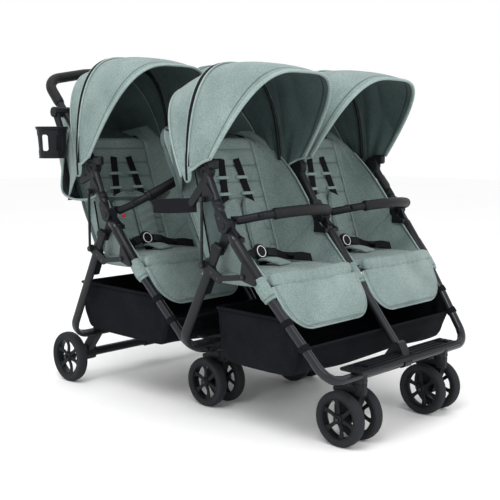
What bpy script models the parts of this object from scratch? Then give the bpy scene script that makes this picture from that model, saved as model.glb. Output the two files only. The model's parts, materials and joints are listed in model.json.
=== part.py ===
# Quadruple stroller: two twin-seat units in tandem on one frame.
# Metres, +Z up, the children face -Y. The left child sits at +X, the right one at -X.
import math

import bmesh
import bpy
from mathutils import Matrix, Vector

# Fits
GAP = 0.0003               # clearance between touching pieces
SKEW = 0.0003              # keeps the faces of united pieces off one plane
MERGE = 0.000005           # points closer than this after a cut are one

# Whole frame
UNIT_PITCH = 0.505         # from the front row of seats to the rear row
FRAME_HALF = 0.390         # side tubes' centre lines at the elbow
ELBOW_Y = -0.260           # front unit's elbow hinge
ELBOW_Z = 0.570

# Lower frame of a unit
BAR_Y = -0.559             # front cross bar
BAR_Z = 0.191
BAR_HALF = 0.325           # where the side tubes' lines meet the cross bar
BEND_RADIUS = 0.062
WAIST_Z = 0.405            # height where the side tubes start to draw in
WAIST_HALF = 0.374
TUBE_R = 0.0122
SLEEVE_R = 0.0152          # thicker upper stretch of the side tubes
SLEEVE_START = 0.050       # the thick stretch's reach along the tube, from the elbow
SLEEVE_END = 0.185
CENTRE_FOOT_Y = -0.541
CENTRE_FOOT_Z = 0.221

# Elbow hinge
KNUCKLE_R = 0.020
KNUCKLE_W = 0.0125         # width of one half of the elbow knuckle
KNUCKLE_REACH = 0.034
PIN_R = 0.0050
LEG_LUG_W = 0.0070

# Rear legs of a unit
LEG_LEAN = math.radians(27.5)
LEG_HALF = 0.390
LEG_TOP = 0.058            # where the leg tube starts below the elbow
LEG_WIDE = 0.030
LEG_THIN = 0.0150
LEG_BAR_Z = 0.165          # rear unit's cross tube
FRONT_LEG_BAR_Z = 0.2125   # front unit's cross tube, over the rear unit's front bar
LEG_BEND = 0.060

# Seat brace and release rod
BRACKET_T = 0.0040
ROD_R = 0.0042
LINK_W = 0.0150
LINK_T = 0.0035
UPPER_PIVOT = (-0.1847, 0.4618)    # y, z of the bracket's upper pivot, front unit
LOWER_PIVOT = (-0.2425, 0.4311)
LINK_PIVOT = (-0.3330, 0.4440)     # on the side tube's triangular plate
ROD_PIVOT = (-0.1860, 0.6370)      # on the upper frame's plate

# Upper frame
HUB_Y = -0.168
HUB_Z = 0.712
HUB_R = 0.0245
HUB_HALF = 0.374           # side tubes' centre lines at the hub
UPPER_R = 0.0125
CANOPY_PIVOT_Y = -0.120    # end of the arm below the hub
CANOPY_PIVOT_Z = 0.625
ARM_T = 0.0085
PLATE_STEP = 0.0033        # how far the rod plate stays inside the rod

# Handle
HANDLE_BEND_Y = 0.590
HANDLE_BEND_Z = 0.985
HANDLE_ROOT_HALF = 0.364   # the handle tube enters the hubs a little further in
HANDLE_HALF = 0.370
HANDLE_ARCH = 0.042        # rise of the cross grip above its bends
HANDLE_R = 0.0120
GRIP_R = 0.0160
GRIP_LOW_Z = 0.903         # how far down the sides the grip reaches
HANDLE_BEND = 0.055

# Wheels
CASTOR_R = 0.074
CASTOR_W = 0.0300
CASTOR_HALF = 0.193        # castor stems from the middle
CASTOR_GAP = 0.0386        # wheel centres from the stem
CASTOR_TRAIL = 0.0330
STEM_Y = -0.553
STEM_R = 0.0130
SOCKET_R = 0.0195
SOCKET_TOP = 0.2075
SOCKET_LOW = 0.168
REAR_WHEEL_R = 0.082
REAR_WHEEL_W = 0.0320
REAR_WHEEL_HALF = 0.3577
REAR_AXLE_Y = 0.5144
AXLE_TUBE_R = 0.0145
AXLE_R = 0.0055
POST_HALF = 0.300
SPOKES = 6

# Canopies, measured from their pivot
CANOPY_WALL = 0.0040
CANOPY_FRONT_R = 0.4210
CANOPY_MID_R = 0.3730
CANOPY_REAR_R = 0.3610
CANOPY_FRONT_LEAN = math.radians(35.5)
CANOPY_MID_LEAN = math.radians(-3.2)
CANOPY_REAR_LEAN = math.radians(-27.0)
CANOPY_HANDLE_LEAN = math.radians(-18.5)   # the rear row's hoods stop short of the handle
CANOPY_EAR_R = 0.0115      # ear of each shell on its pivot
CANOPY_EAR_IN = 0.0014     # how far the ears stand inside the shells' outer faces
CANOPY_FRONT_HEM = 0.150   # side hem's distance from the pivot at the visor
CANOPY_HEM = 0.080
CANOPY_SQUARE = 2.8        # superellipse exponent of the mid and rear bows
CANOPY_VISOR_SQUARE = 3.4  # the front bow is squarer
REAR_CANOPY_LIFT = 0.045   # the rear row's canopies sit higher on the frame

# Seats
SEAT_HALF = 0.1640         # half width of a seat between its tubes
WING_T = 0.0050
SEAT_FRONT_Y = -0.392
SEAT_FRONT_Z = 0.452
CREASE_Y = -0.112
CREASE_Z = 0.437
CUSHION_T = 0.030
SEAT_DIP = 0.100           # where the cushion's top starts to fall, ahead of the crease
CUSHION_CROWN = 0.0060     # the cushion's middle over its sewn sides
BACK_HALF = 0.1290
BACK_T = 0.028
BACK_LEAN = math.radians(28.0)
BACK_LENGTH = 0.520
BACK_CHANNELS = 6
BACK_GROOVE = 0.0032       # depth of the channels' seams
BACK_START = -0.006        # lower edge along the back, from the crease
LEGREST_LOW_Z = 0.313
LEGREST_T = 0.014
LEGREST_CORNER = 0.070

# Harness buckles
BUCKLE_Y = -0.196
BUCKLE_Z = 0.478
BUCKLE_R = 0.0250
BUCKLE_T = 0.0150
STRAP_HALF = 0.0125        # half width of the harness straps
STRAP_T = 0.0030

# Bumper bars
BUMPER_R = 0.0110
BUMPER_GRIP_R = 0.0145
BUMPER_RISE = 0.024
BUMPER_REACH = 0.092
BUMPER_Y = ELBOW_Y - 0.014
BUMPER_Z = ELBOW_Z + 0.013
BUMPER_END = 0.030         # tip's distance from the tubes' centre line
BUMPER_PIVOT = 0.034       # the swinging end's pin, from the same line
BUMPER_TAIL = 0.0065       # how far that end runs past its pin
BUMPER_PIN_R = 0.0040
BUMPER_OPEN = math.radians(23.0)   # the rear right bar stands open at rest

# Baskets
CLAMP_X = 0.2550           # clamps that join the two units' frames
CLAMP_W = 0.0300
BASKET_RIM_Z = 0.340
BASKET_T = 0.0030
BASKET_HALF = 0.352
BASKET_FLOOR_Z = 0.190
BASKET_FOLDS = 5
BASKET_FOLD = 0.0040
BASKET_FRONT_REAR = -0.045 # rear rim from the legs' line, front unit and rear unit
BASKET_REAR_REAR = 0.080

# Cup holder
CUP_X = -0.445
CUP_Y = 0.452
CUP_TOP = 0.833
CUP_LOW = 0.737
CUP_TOP_R = 0.047
CUP_LOW_R = 0.040
CUP_WALL = 0.0026
CUP_CLIP_Z = 0.880         # where its clip holds the handle tube

UNITS = (("front", 0.0), ("rear", UNIT_PITCH))
SIDES = (("right", -1.0), ("left", 1.0))


# Materials

def material(name, color, roughness, metallic=0.0):
    found = bpy.data.materials.get(name)
    if found:
        return found
    made = bpy.data.materials.new(name)
    made.use_nodes = True
    shader = made.node_tree.nodes["Principled BSDF"]
    shader.inputs["Base Color"].default_value = (*color, 1.0)
    shader.inputs["Roughness"].default_value = roughness
    shader.inputs["Metallic"].default_value = metallic
    return made


def black_tube():
    return material("black_tube", (0.020, 0.021, 0.023), 0.38, 0.6)


def black_plastic():
    return material("black_plastic", (0.018, 0.018, 0.020), 0.55)


def tyre_rubber():
    return material("tyre_rubber", (0.028, 0.028, 0.030), 0.80)


def green_fabric():
    return material("green_fabric", (0.30, 0.39, 0.37), 0.95)


def dark_fabric():
    return material("dark_fabric", (0.018, 0.019, 0.022), 0.95)


def grip_leather():
    return material("grip_leather", (0.030, 0.028, 0.028), 0.65)


# Mesh helpers

def finish(name, bm, mat, origin=(0.0, 0.0, 0.0)):
    """Make an object whose origin lies at the given point, from world coordinates."""
    bmesh.ops.remove_doubles(bm, verts=bm.verts, dist=1e-6)
    bmesh.ops.recalc_face_normals(bm, faces=bm.faces)
    bmesh.ops.translate(bm, verts=bm.verts, vec=-Vector(origin))
    mesh = bpy.data.meshes.new(name)
    bm.to_mesh(mesh)
    bm.free()
    mesh.shade_smooth()
    mesh.set_sharp_from_angle(angle=math.radians(38))
    obj = bpy.data.objects.new(name, mesh)
    obj.location = origin
    obj.data.materials.append(mat)
    bpy.context.scene.collection.objects.link(obj)
    return obj


def boolean(base, tool, operation):
    """Apply one exact Boolean and remove its tool."""
    bpy.context.view_layer.update()
    step = base.modifiers.new(operation.lower(), "BOOLEAN")
    step.operation = operation
    step.solver = "EXACT"
    step.object = tool
    graph = bpy.context.evaluated_depsgraph_get()
    mesh = bpy.data.meshes.new_from_object(base.evaluated_get(graph))
    base.modifiers.clear()
    old = base.data
    base.data = mesh
    bpy.data.meshes.remove(old)
    mesh.name = base.name
    bpy.data.objects.remove(tool)


def fuse(base, *tools):
    for tool in tools:
        boolean(base, tool, "UNION")
    return tidy(base)


def carve(base, *tools):
    for tool in tools:
        boolean(base, tool, "DIFFERENCE")
    return tidy(base)


def tidy(obj):
    """Merge the cut's stray points and flat faces, and shade round faces smooth again."""
    bm = bmesh.new()
    bm.from_mesh(obj.data)
    bmesh.ops.remove_doubles(bm, verts=bm.verts, dist=MERGE)
    bmesh.ops.dissolve_degenerate(bm, edges=bm.edges, dist=MERGE)
    bmesh.ops.dissolve_limit(bm, angle_limit=math.radians(0.2), verts=bm.verts, edges=bm.edges)
    bmesh.ops.triangulate(bm, faces=bm.faces)
    bmesh.ops.dissolve_degenerate(bm, edges=bm.edges, dist=MERGE)
    bm.to_mesh(obj.data)
    bm.free()
    mat = obj.data.materials[0]
    obj.data.materials.clear()
    obj.data.materials.append(mat)
    for face in obj.data.polygons:
        face.material_index = 0
    obj.data.shade_smooth()
    obj.data.set_sharp_from_angle(angle=math.radians(38))
    return obj


def loft(rings, closed=False):
    """Bridge rings of equally many points; cap both ends unless the rings close on themselves."""
    bm = bmesh.new()
    rows = [[bm.verts.new(point) for point in ring] for ring in rings]
    pairs = list(zip(rows, rows[1:]))
    if closed:
        pairs.append((rows[-1], rows[0]))
    for low, high in pairs:
        count = len(low)
        for i in range(count):
            j = (i + 1) % count
            bm.faces.new((low[i], low[j], high[j], high[i]))
    if not closed:
        bm.faces.new(list(reversed(rows[0])))
        bm.faces.new(rows[-1])
    return bm


def oval(wide, thin, count):
    """Section of a tube: a circle, or a flat oval of the given widths."""
    points = []
    for i in range(count):
        turn = 2 * math.pi * (i + 0.5) / count
        power = 1.0 if abs(wide - thin) < 1e-6 else 0.72
        c = math.copysign(abs(math.cos(turn)) ** power, math.cos(turn))
        s = math.copysign(abs(math.sin(turn)) ** power, math.sin(turn))
        points.append((wide / 2 * c, thin / 2 * s))
    return points


def rounded(corners, radius, step=math.radians(23)):
    """Path through the corners with each inner corner turned on an arc."""
    points = [Vector(corners[0])]
    for before, corner, after in zip(corners, corners[1:], corners[2:]):
        here = Vector(corner)
        back = (Vector(before) - here).normalized()
        ahead = (Vector(after) - here).normalized()
        half = back.angle(ahead) / 2
        turn = math.pi - 2 * half
        if turn < math.radians(2):
            points.append(here)
            continue
        run = radius / math.tan(half)
        centre = here + (back + ahead).normalized() * (radius / math.sin(half))
        start = here + back * run - centre
        axis = start.cross(here + ahead * run - centre).normalized()
        count = max(2, round(turn / step))
        for i in range(count + 1):
            points.append(centre + Matrix.Rotation(turn * i / count, 3, axis) @ start)
    points.append(Vector(corners[-1]))
    return points


def sweep(path, section):
    """Carry a section along a path; its thin direction starts along X, or along Z on a cross tube."""
    rings = []
    across = abs((path[1] - path[0]).normalized().x) > 0.99
    thin = Vector((0.0, 0.0, 1.0)) if across else Vector((1.0, 0.0, 0.0))
    last = None
    for i, point in enumerate(path):
        before = path[max(i - 1, 0)]
        after = path[min(i + 1, len(path) - 1)]
        incoming = (point - before).normalized() if i else (after - point).normalized()
        outgoing = (after - point).normalized() if i < len(path) - 1 else incoming
        tangent = (incoming + outgoing).normalized()
        if last is not None:
            thin = last.rotation_difference(tangent) @ thin
        thin = (thin - tangent * thin.dot(tangent)).normalized()
        wide = tangent.cross(thin)
        stretch = 1.0 / max(0.5, incoming.dot(tangent))
        bend = (outgoing - incoming)
        bend = bend.normalized() if bend.length > 1e-5 else Vector((0.0, 0.0, 0.0))
        ring = []
        for u, v in section:
            offset = wide * u + thin * v
            offset += bend * (offset.dot(bend) * (stretch - 1.0))
            ring.append(point + offset)
        rings.append(ring)
        last = tangent
    return loft(rings)


def tube(path, radius, count=8):
    return sweep([Vector(p) for p in path], oval(2 * radius, 2 * radius, count))


def hull_outline(circles, step=math.radians(44)):
    """Outline of a belt round circles given as (y, z, radius)."""
    cloud = []
    for y, z, radius in circles:
        count = max(8, int(2 * math.pi / step))
        for i in range(count):
            turn = 2 * math.pi * i / count
            cloud.append((y + radius * math.cos(turn), z + radius * math.sin(turn)))
    cloud = sorted(set(cloud))

    def half(points):
        chain = []
        for point in points:
            while len(chain) > 1:
                (ay, az), (by, bz) = chain[-2], chain[-1]
                if (by - ay) * (point[1] - az) - (bz - az) * (point[0] - ay) > 1e-12:
                    break
                chain.pop()
            chain.append(point)
        return chain

    return half(cloud)[:-1] + half(cloud[::-1])[:-1]


def prism(outline, x_low, x_high):
    """Extrude a y, z outline along X."""
    return loft([[(x, y, z) for y, z in outline] for x in (x_low, x_high)])


def belt(circles, x_low, x_high):
    low, high = sorted((x_low, x_high))
    return prism(hull_outline(circles), low, high)


def disc(y, z, radius, x_low, x_high, count=8):
    low, high = sorted((x_low, x_high))
    outline = [(y + radius * math.cos(2 * math.pi * i / count),
                z + radius * math.sin(2 * math.pi * i / count)) for i in range(count)]
    return prism(outline, low, high)


def turned(profile, centre, axis="X", count=24, closed=False):
    """Revolve (along, radius) points about an axis through the centre."""
    rings = []
    for along, radius in profile:
        ring = []
        for i in range(count):
            turn = 2 * math.pi * i / count
            c, s = radius * math.cos(turn), radius * math.sin(turn)
            offset = {"X": (along, c, s), "Y": (s, along, c), "Z": (c, s, along)}[axis]
            ring.append(Vector(centre) + Vector(offset))
        rings.append(ring)
    return loft(rings, closed)


def block(low, high, bevel=0.0):
    bm = bmesh.new()
    bmesh.ops.create_cube(bm, size=1.0)
    size = [h - l for l, h in zip(low, high)]
    centre = [(h + l) / 2 for l, h in zip(low, high)]
    bmesh.ops.scale(bm, verts=bm.verts, vec=size)
    bmesh.ops.translate(bm, verts=bm.verts, vec=centre)
    if bevel:
        bmesh.ops.bevel(bm, geom=bm.edges[:], offset=bevel, segments=1, affect="EDGES")
    return bm


def bore_radius(radius, count):
    """Radius of a bore polygon whose flats clear a turning pin."""
    return (radius + GAP) / math.cos(math.pi / count)


def helper(bm, mat):
    return finish("helper", bm, mat)


# Frame lines

def tube_lean():
    return math.atan2(ELBOW_Y - BAR_Y, ELBOW_Z - BAR_Z)


def tube_y(z):
    """Front unit's side tube at a height."""
    return ELBOW_Y - (ELBOW_Z - z) * math.tan(tube_lean())


def frame_x(z):
    """Side tube's distance from the middle at a height."""
    if z > WAIST_Z:
        share = (z - WAIST_Z) / (ELBOW_Z - WAIST_Z)
        return WAIST_HALF + (FRAME_HALF - WAIST_HALF) * share
    share = (z - BAR_Z) / (WAIST_Z - BAR_Z)
    return BAR_HALF + (WAIST_HALF - BAR_HALF) * share


def leg_y(z):
    return ELBOW_Y + (ELBOW_Z - z) * math.tan(LEG_LEAN)


def brace_plane():
    """Inner face of the braces and release rods, outside the leg brackets."""
    return LEG_HALF + LEG_THIN / 2 + BRACKET_T + GAP


def down_tube(distance):
    return (ELBOW_Y - distance * math.sin(tube_lean()), ELBOW_Z - distance * math.cos(tube_lean()))


def down_leg(distance):
    return (ELBOW_Y + distance * math.sin(LEG_LEAN), ELBOW_Z - distance * math.cos(LEG_LEAN))


def up_tube(distance):
    lean = math.atan2(HUB_Y - ELBOW_Y, HUB_Z - ELBOW_Z)
    return (ELBOW_Y + distance * math.sin(lean), ELBOW_Z + distance * math.cos(lean))


# Lower frames

def knuckle(side, dy, outer, end, radius=KNUCKLE_R):
    """Half of an elbow knuckle: inner half on the lower frame, outer half on the upper."""
    middle = side * FRAME_HALF
    x_low = middle + side * GAP / 2 if outer else middle - side * (GAP / 2 + KNUCKLE_W)
    x_high = x_low + side * KNUCKLE_W
    circles = [(ELBOW_Y + dy, ELBOW_Z, radius), (end[0] + dy, end[1], UPPER_R)]
    return belt(circles, x_low, x_high)


def lower_frame(row, dy):
    mat = black_tube()
    start_y, start_z = down_tube(KNUCKLE_REACH - 0.008)
    waist_y = tube_y(WAIST_Z)
    corners = []
    for side in (-1.0, 1.0):
        run = [(side * FRAME_HALF, start_y + dy, start_z),
               (side * WAIST_HALF, waist_y + dy, WAIST_Z),
               (side * BAR_HALF, BAR_Y + dy, BAR_Z)]
        corners += run if side < 0 else run[::-1]
    frame = finish(row + "_lower_frame", tube(rounded(corners, BEND_RADIUS), TUBE_R), mat)
    parts = []
    sleeve_y, sleeve_z = down_tube(SLEEVE_END)
    share = (ELBOW_Z - sleeve_z) / (ELBOW_Z - WAIST_Z)
    for side in (-1.0, 1.0):
        top_y, top_z = down_tube(SLEEVE_START)
        top = (side * frame_x(top_z), top_y + dy, top_z)
        end_x = FRAME_HALF + (WAIST_HALF - FRAME_HALF) * share
        end = (side * end_x, sleeve_y + dy, sleeve_z)
        parts.append(tube([Vector(top), Vector(end)], SLEEVE_R))
        parts.append(knuckle(side, dy, False, down_tube(KNUCKLE_REACH)))
        parts.append(elbow_pin(side, dy))
        parts.append(link_plate(side, dy))
        parts.append(turned([(SOCKET_LOW, SOCKET_R), (SOCKET_LOW + 0.006, SOCKET_R + 0.002),
                             (SOCKET_TOP - 0.004, SOCKET_R - 0.001), (SOCKET_TOP, SOCKET_R - 0.005)],
                            (side * CASTOR_HALF, STEM_Y + dy, 0.0), "Z", 10))
    parts += centre_tube(dy)
    parts += bumper_fittings(dy)
    return fuse(frame, *[helper(part, mat) for part in parts])


def bumper_fittings(dy):
    """Brackets behind the four bumper ends; two of them carry a bumper's hinge pin."""
    back = BUMPER_Y + BUMPER_R
    front = back + 0.0005
    rear = front + 0.0060
    top = BUMPER_Z + BUMPER_R
    foot = ELBOW_Z - 0.042
    bracket = [(BUMPER_Y - 0.026, foot), (rear, foot), (rear, top), (front, top), (front, ELBOW_Z - 0.008),
               (BUMPER_Y - 0.011, ELBOW_Z - 0.025), (BUMPER_Y - 0.026, foot + 0.012)]
    bracket = [(y + dy, z) for y, z in bracket]
    parts = []
    lug_face = FRAME_HALF - KNUCKLE_W - LEG_LUG_W - 5 * GAP
    for side in (-1.0, 1.0):
        for near, far, root in ((lug_face, FRAME_HALF - BUMPER_END - 0.0003, FRAME_HALF - 0.002),
                                (0.0225, BUMPER_END, 0.0)):
            low, high = sorted((side * near, side * far))
            parts.append(prism(bracket, low, high))
            tip = near - 0.023 if near > far else near + 0.0175
            low, high = sorted((side * (near + far) / 2, side * tip))
            parts.append(block((low, front + dy + SKEW, top - 0.022), (high, rear + dy - SKEW, top - SKEW)))
            low, high = sorted((side * (near + far) / 2, side * root))
            parts.append(block((low, BUMPER_Y - 0.026 + dy + SKEW, foot + SKEW),
                               (high, BUMPER_Y - 0.005 + dy, foot + 0.0115)))
    for pivot in (-FRAME_HALF + BUMPER_PIVOT, BUMPER_PIVOT):
        parts.append(turned([(BUMPER_Y + dy + 0.0005, BUMPER_PIN_R), (front + dy + 0.002, BUMPER_PIN_R)],
                            (pivot, 0.0, BUMPER_Z), "Y", 8))
    return parts


def elbow_pin(side, dy):
    """Hinge pin: it stands out of the inner half and ends in a rivet head outside."""
    neck = side * (FRAME_HALF + KNUCKLE_W + 2 * GAP + 0.0002)
    head = neck + side * 0.0035
    inner = side * (FRAME_HALF - KNUCKLE_W - LEG_LUG_W - 3 * GAP)
    profile = [(inner, PIN_R), (neck, PIN_R), (neck, PIN_R * 1.7), (head, PIN_R * 1.2)]
    return turned(profile, (0.0, ELBOW_Y + dy, ELBOW_Z), "X", 8)


def link_plate(side, dy):
    """Triangular plate on the outside of the side tube, which holds the brace."""
    y, z = LINK_PIVOT
    near_y, near_z = down_tube(0.120)
    far_y, far_z = down_tube(0.176)
    x_high = side * (brace_plane() - GAP)
    x_low = x_high - side * 0.010
    return belt([(y + dy, z, 0.010), (near_y + dy, near_z, 0.007), (far_y + dy, far_z, 0.007)],
                x_low, x_high)


def centre_tube(dy):
    start_y, start_z = down_tube(KNUCKLE_REACH - 0.008)
    top_y, top_z = down_tube(SLEEVE_START)
    sleeve_y, sleeve_z = down_tube(SLEEVE_END)
    foot = Vector((0.0, CENTRE_FOOT_Y + dy, CENTRE_FOOT_Z))
    parts = [tube([Vector((0.0, start_y + dy, start_z)), foot], TUBE_R),
             tube([Vector((0.0, top_y + dy, top_z)), Vector((0.0, sleeve_y + dy, sleeve_z))],
                  SLEEVE_R)]
    low, high = down_tube(KNUCKLE_REACH)
    parts.append(belt([(ELBOW_Y + dy, ELBOW_Z, KNUCKLE_R), (low + dy, high, UPPER_R)],
                      -KNUCKLE_W / 2, KNUCKLE_W / 2))
    pin = KNUCKLE_W * 1.5 + 2 * GAP
    profile = [(-pin - 0.003, PIN_R * 1.3), (-pin, PIN_R * 1.7), (-pin, PIN_R), (pin, PIN_R),
               (pin, PIN_R * 1.7), (pin + 0.003, PIN_R * 1.3)]
    parts.append(turned(profile, (0.0, ELBOW_Y + dy, ELBOW_Z), "X", 8))
    foot_y, foot_z = CENTRE_FOOT_Y + dy, CENTRE_FOOT_Z
    parts.append(belt([(BAR_Y + dy, BAR_Z, TUBE_R + 0.004), (foot_y, foot_z + 0.012, 0.013),
                       (foot_y + 0.030, foot_z - 0.020, 0.008)], -0.0165, 0.0165))
    return parts


# Legs

def leg_path(dy, bar_z):
    top_y, top_z = down_leg(LEG_TOP)
    low_y = leg_y(bar_z) + dy
    corners = [(-LEG_HALF, top_y + dy, top_z), (-LEG_HALF, low_y, bar_z),
               (LEG_HALF, low_y, bar_z), (LEG_HALF, top_y + dy, top_z)]
    return rounded(corners, LEG_BEND, math.radians(20))


def leg_parts(dy):
    """Elbow lugs, hinge brackets and moulded housings of a pair of legs."""
    parts = []
    top_y, top_z = down_leg(LEG_TOP + 0.022)
    for side in (-1.0, 1.0):
        x_high = side * (FRAME_HALF - KNUCKLE_W - GAP * 1.5)
        x_low = x_high - side * LEG_LUG_W
        parts.append(belt([(ELBOW_Y + dy, ELBOW_Z, KNUCKLE_R * 0.86), (top_y + dy, top_z, 0.0125)],
                          x_low, x_high))
        parts.append(belt([(top_y + dy, top_z, 0.0125), (top_y + dy + 0.004, top_z + 0.012, 0.0110)],
                          x_low, side * (LEG_HALF + LEG_THIN / 2 - 0.001)))
        outer = side * (LEG_HALF + LEG_THIN / 2 - 0.0015)
        parts.append(belt([(UPPER_PIVOT[0] + dy, UPPER_PIVOT[1], 0.0125),
                           (LOWER_PIVOT[0] + dy, LOWER_PIVOT[1], 0.0135)],
                          outer, outer + side * (BRACKET_T + 0.0015)))
        inner = side * (LEG_HALF - LEG_THIN / 2 + 0.002)
        hold_y, hold_z = down_leg(0.150)
        low_y, low_z = down_leg(0.205)
        parts.append(belt([(UPPER_PIVOT[0] + dy, UPPER_PIVOT[1] + 0.006, 0.012),
                           (hold_y + dy, hold_z, 0.016), (low_y + dy - 0.006, low_z, 0.012)],
                          inner, inner - side * 0.015))
    return parts


def leg_holes(dy):
    """Pin holes of the elbow lugs."""
    reach = FRAME_HALF + 0.05
    return [disc(ELBOW_Y + dy, ELBOW_Z, bore_radius(PIN_R, 8), side * (LEG_HALF - 0.05), side * reach)
            for side in (-1.0, 1.0)]


def front_legs():
    """The front unit's legs end in clamps on the rear unit's front cross bar."""
    mat = black_tube()
    path = leg_path(0.0, FRONT_LEG_BAR_Z)
    legs = finish("front_legs", sweep(path, oval(LEG_WIDE, LEG_THIN, 8)), mat)
    parts = leg_parts(0.0)
    bar_y = leg_y(FRONT_LEG_BAR_Z)
    hold_y, hold_z = BAR_Y + UNIT_PITCH, BAR_Z
    for side in (-1.0, 1.0):
        x_mid = side * CLAMP_X
        parts.append(belt([(bar_y, FRONT_LEG_BAR_Z, 0.0175), (hold_y, hold_z, TUBE_R + 0.0045)],
                          x_mid - CLAMP_W / 2, x_mid + CLAMP_W / 2))
    fuse(legs, *[helper(part, mat) for part in parts])
    bore = tube([Vector((-BAR_HALF, hold_y, hold_z)), Vector((BAR_HALF, hold_y, hold_z))],
                TUBE_R + 0.0010)
    return carve(legs, *[helper(hole, mat) for hole in leg_holes(0.0)], helper(bore, mat))


def rear_legs():
    """The rear unit's legs carry the axle tube on two posts."""
    mat = black_tube()
    dy = UNIT_PITCH
    path = leg_path(dy, LEG_BAR_Z)
    legs = finish("rear_legs", sweep(path, oval(LEG_WIDE, LEG_THIN, 8)), mat)
    parts = leg_parts(dy)
    bar_y = leg_y(LEG_BAR_Z) + dy
    parts.append(turned([(-POST_HALF, AXLE_TUBE_R), (POST_HALF, AXLE_TUBE_R)],
                        (0.0, REAR_AXLE_Y, REAR_WHEEL_R), "X", 12))
    for side in (-1.0, 1.0):
        x_low = side * (POST_HALF - 0.026)
        x_high = side * (POST_HALF + 0.002)
        parts.append(belt([(bar_y, LEG_BAR_Z, 0.0165), (REAR_AXLE_Y - 0.004, REAR_WHEEL_R + 0.018, 0.0155)],
                          x_low + side * 0.004, x_high - side * 0.004))
        parts.append(belt([(REAR_AXLE_Y, REAR_WHEEL_R + 0.012, 0.019),
                           (REAR_AXLE_Y, REAR_WHEEL_R - 0.004, 0.019)], x_low - side * 0.010, x_high))
        stub = side * (REAR_WHEEL_HALF + REAR_WHEEL_W / 2 + 0.004)
        parts.append(turned([(side * (POST_HALF - 0.004), AXLE_R), (stub, AXLE_R)],
                            (0.0, REAR_AXLE_Y, REAR_WHEEL_R), "X", 8))
    fuse(legs, *[helper(part, mat) for part in parts])
    return carve(legs, *[helper(hole, mat) for hole in leg_holes(dy)])


# Brace and release rod

def brace_and_rod(row, dy):
    mat = black_tube()
    for name, side in SIDES:
        plane = side * brace_plane()
        finish(row + "_brace_" + name,
                      belt([(LINK_PIVOT[0] + dy, LINK_PIVOT[1], LINK_W / 2),
                            (LOWER_PIVOT[0] + dy, LOWER_PIVOT[1], LINK_W / 2)],
                           plane, plane + side * LINK_T),
                      mat, (0.0, LINK_PIVOT[0] + dy, LINK_PIVOT[1]))
        rod_x = plane + side * (ROD_R + 0.0006)
        top = Vector((rod_x, ROD_PIVOT[0] + dy, ROD_PIVOT[1]))
        low = Vector((rod_x, UPPER_PIVOT[0] + dy, UPPER_PIVOT[1]))
        rod = finish(row + "_release_rod_" + name, tube([top, low], ROD_R, 8), mat, top)
        ends = [belt([(p.y, p.z, 0.0085)], plane, plane + side * (2 * ROD_R + 0.001))
                for p in (top, low)]
        fuse_local(rod, ends, mat)


def fuse_local(obj, meshes, mat):
    """Union world-space pieces with an object that stands on its joint axis."""
    bpy.context.view_layer.update()
    fuse(obj, *[helper(mesh, mat) for mesh in meshes])


# Upper frames

def upper_plates(side, dy, middle, pivot_z):
    """Rod plate with its rivet, and the arm that ends in the canopy's pivot."""
    x_face = middle + side * (UPPER_R - 0.0075)
    x_out = side * (brace_plane() - PLATE_STEP)
    y1, z1 = up_tube(0.088)
    y2, z2 = up_tube(0.128)
    plate = belt([(ROD_PIVOT[0] + dy, ROD_PIVOT[1] + 0.002, 0.0105), (y1 + dy, z1, 0.009),
                  (y2 + dy, z2 - 0.004, 0.007)], x_face, x_out)
    rivet = belt([(ROD_PIVOT[0] + dy, ROD_PIVOT[1], 0.0060)], x_face, side * (brace_plane() - GAP))
    y3, z3 = up_tube(0.146)
    arm_out = side * (canopy_side() - 2 * CANOPY_WALL - CANOPY_EAR_IN - 4 * GAP)
    arm = belt([(y3 + dy, z3, 0.012), (CANOPY_PIVOT_Y + dy, pivot_z, CANOPY_EAR_R)],
               arm_out - side * ARM_T, arm_out)
    return [plate, rivet, arm]


def hub(side, dy, middle, width):
    """Round canopy hub with a raised rim and a sunk face."""
    low = middle - width / 2
    high = middle + width / 2
    profile = [(low, HUB_R - 0.003), (low + 0.003, HUB_R), (high, HUB_R - 0.001),
               (high, HUB_R - 0.008), (high - 0.003, HUB_R - 0.010)]
    if side < 0:
        profile = [(2 * middle - along, radius) for along, radius in profile]
    return turned(profile, (0.0, HUB_Y + dy, HUB_Z), "X", 12)


def upper_side_parts(side, dy):
    start = up_tube(KNUCKLE_REACH)
    parts = [knuckle(side, dy, True, start)]
    middle = side * (FRAME_HALF + HUB_HALF) / 2
    pivot_z = CANOPY_PIVOT_Z + (REAR_CANOPY_LIFT if dy > 0 else 0.0)
    parts += upper_plates(side, dy, middle - side * 0.001, pivot_z)
    parts.append(hub(side, dy, side * (HUB_HALF - 0.001), 2 * UPPER_R - 0.001))
    parts.append(block((side * HUB_HALF - 0.0100, HUB_Y + dy - 0.044, HUB_Z + 0.004),
                       (side * HUB_HALF + 0.0100, HUB_Y + dy - 0.004, HUB_Z + 0.032), 0.005))
    return parts


def elbow_bore(dy, x_low, x_high):
    return disc(ELBOW_Y + dy, ELBOW_Z, bore_radius(PIN_R, 8), x_low, x_high)


def upper_side_line(side, dy):
    y, z = up_tube(KNUCKLE_REACH - 0.010)
    return [(side * FRAME_HALF, y + dy, z), (side * HUB_HALF, HUB_Y + dy, HUB_Z)]


def front_upper_posts():
    mat = black_tube()
    for name, side in SIDES:
        line = [Vector(p) for p in upper_side_line(side, 0.0)]
        post = finish("front_upper_post_" + name, tube(line, UPPER_R), mat)
        fuse(post, *[helper(part, mat) for part in upper_side_parts(side, 0.0)])
        carve(post, helper(elbow_bore(0.0, side * (FRAME_HALF - 0.03), side * (FRAME_HALF + 0.03)), mat))


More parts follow.
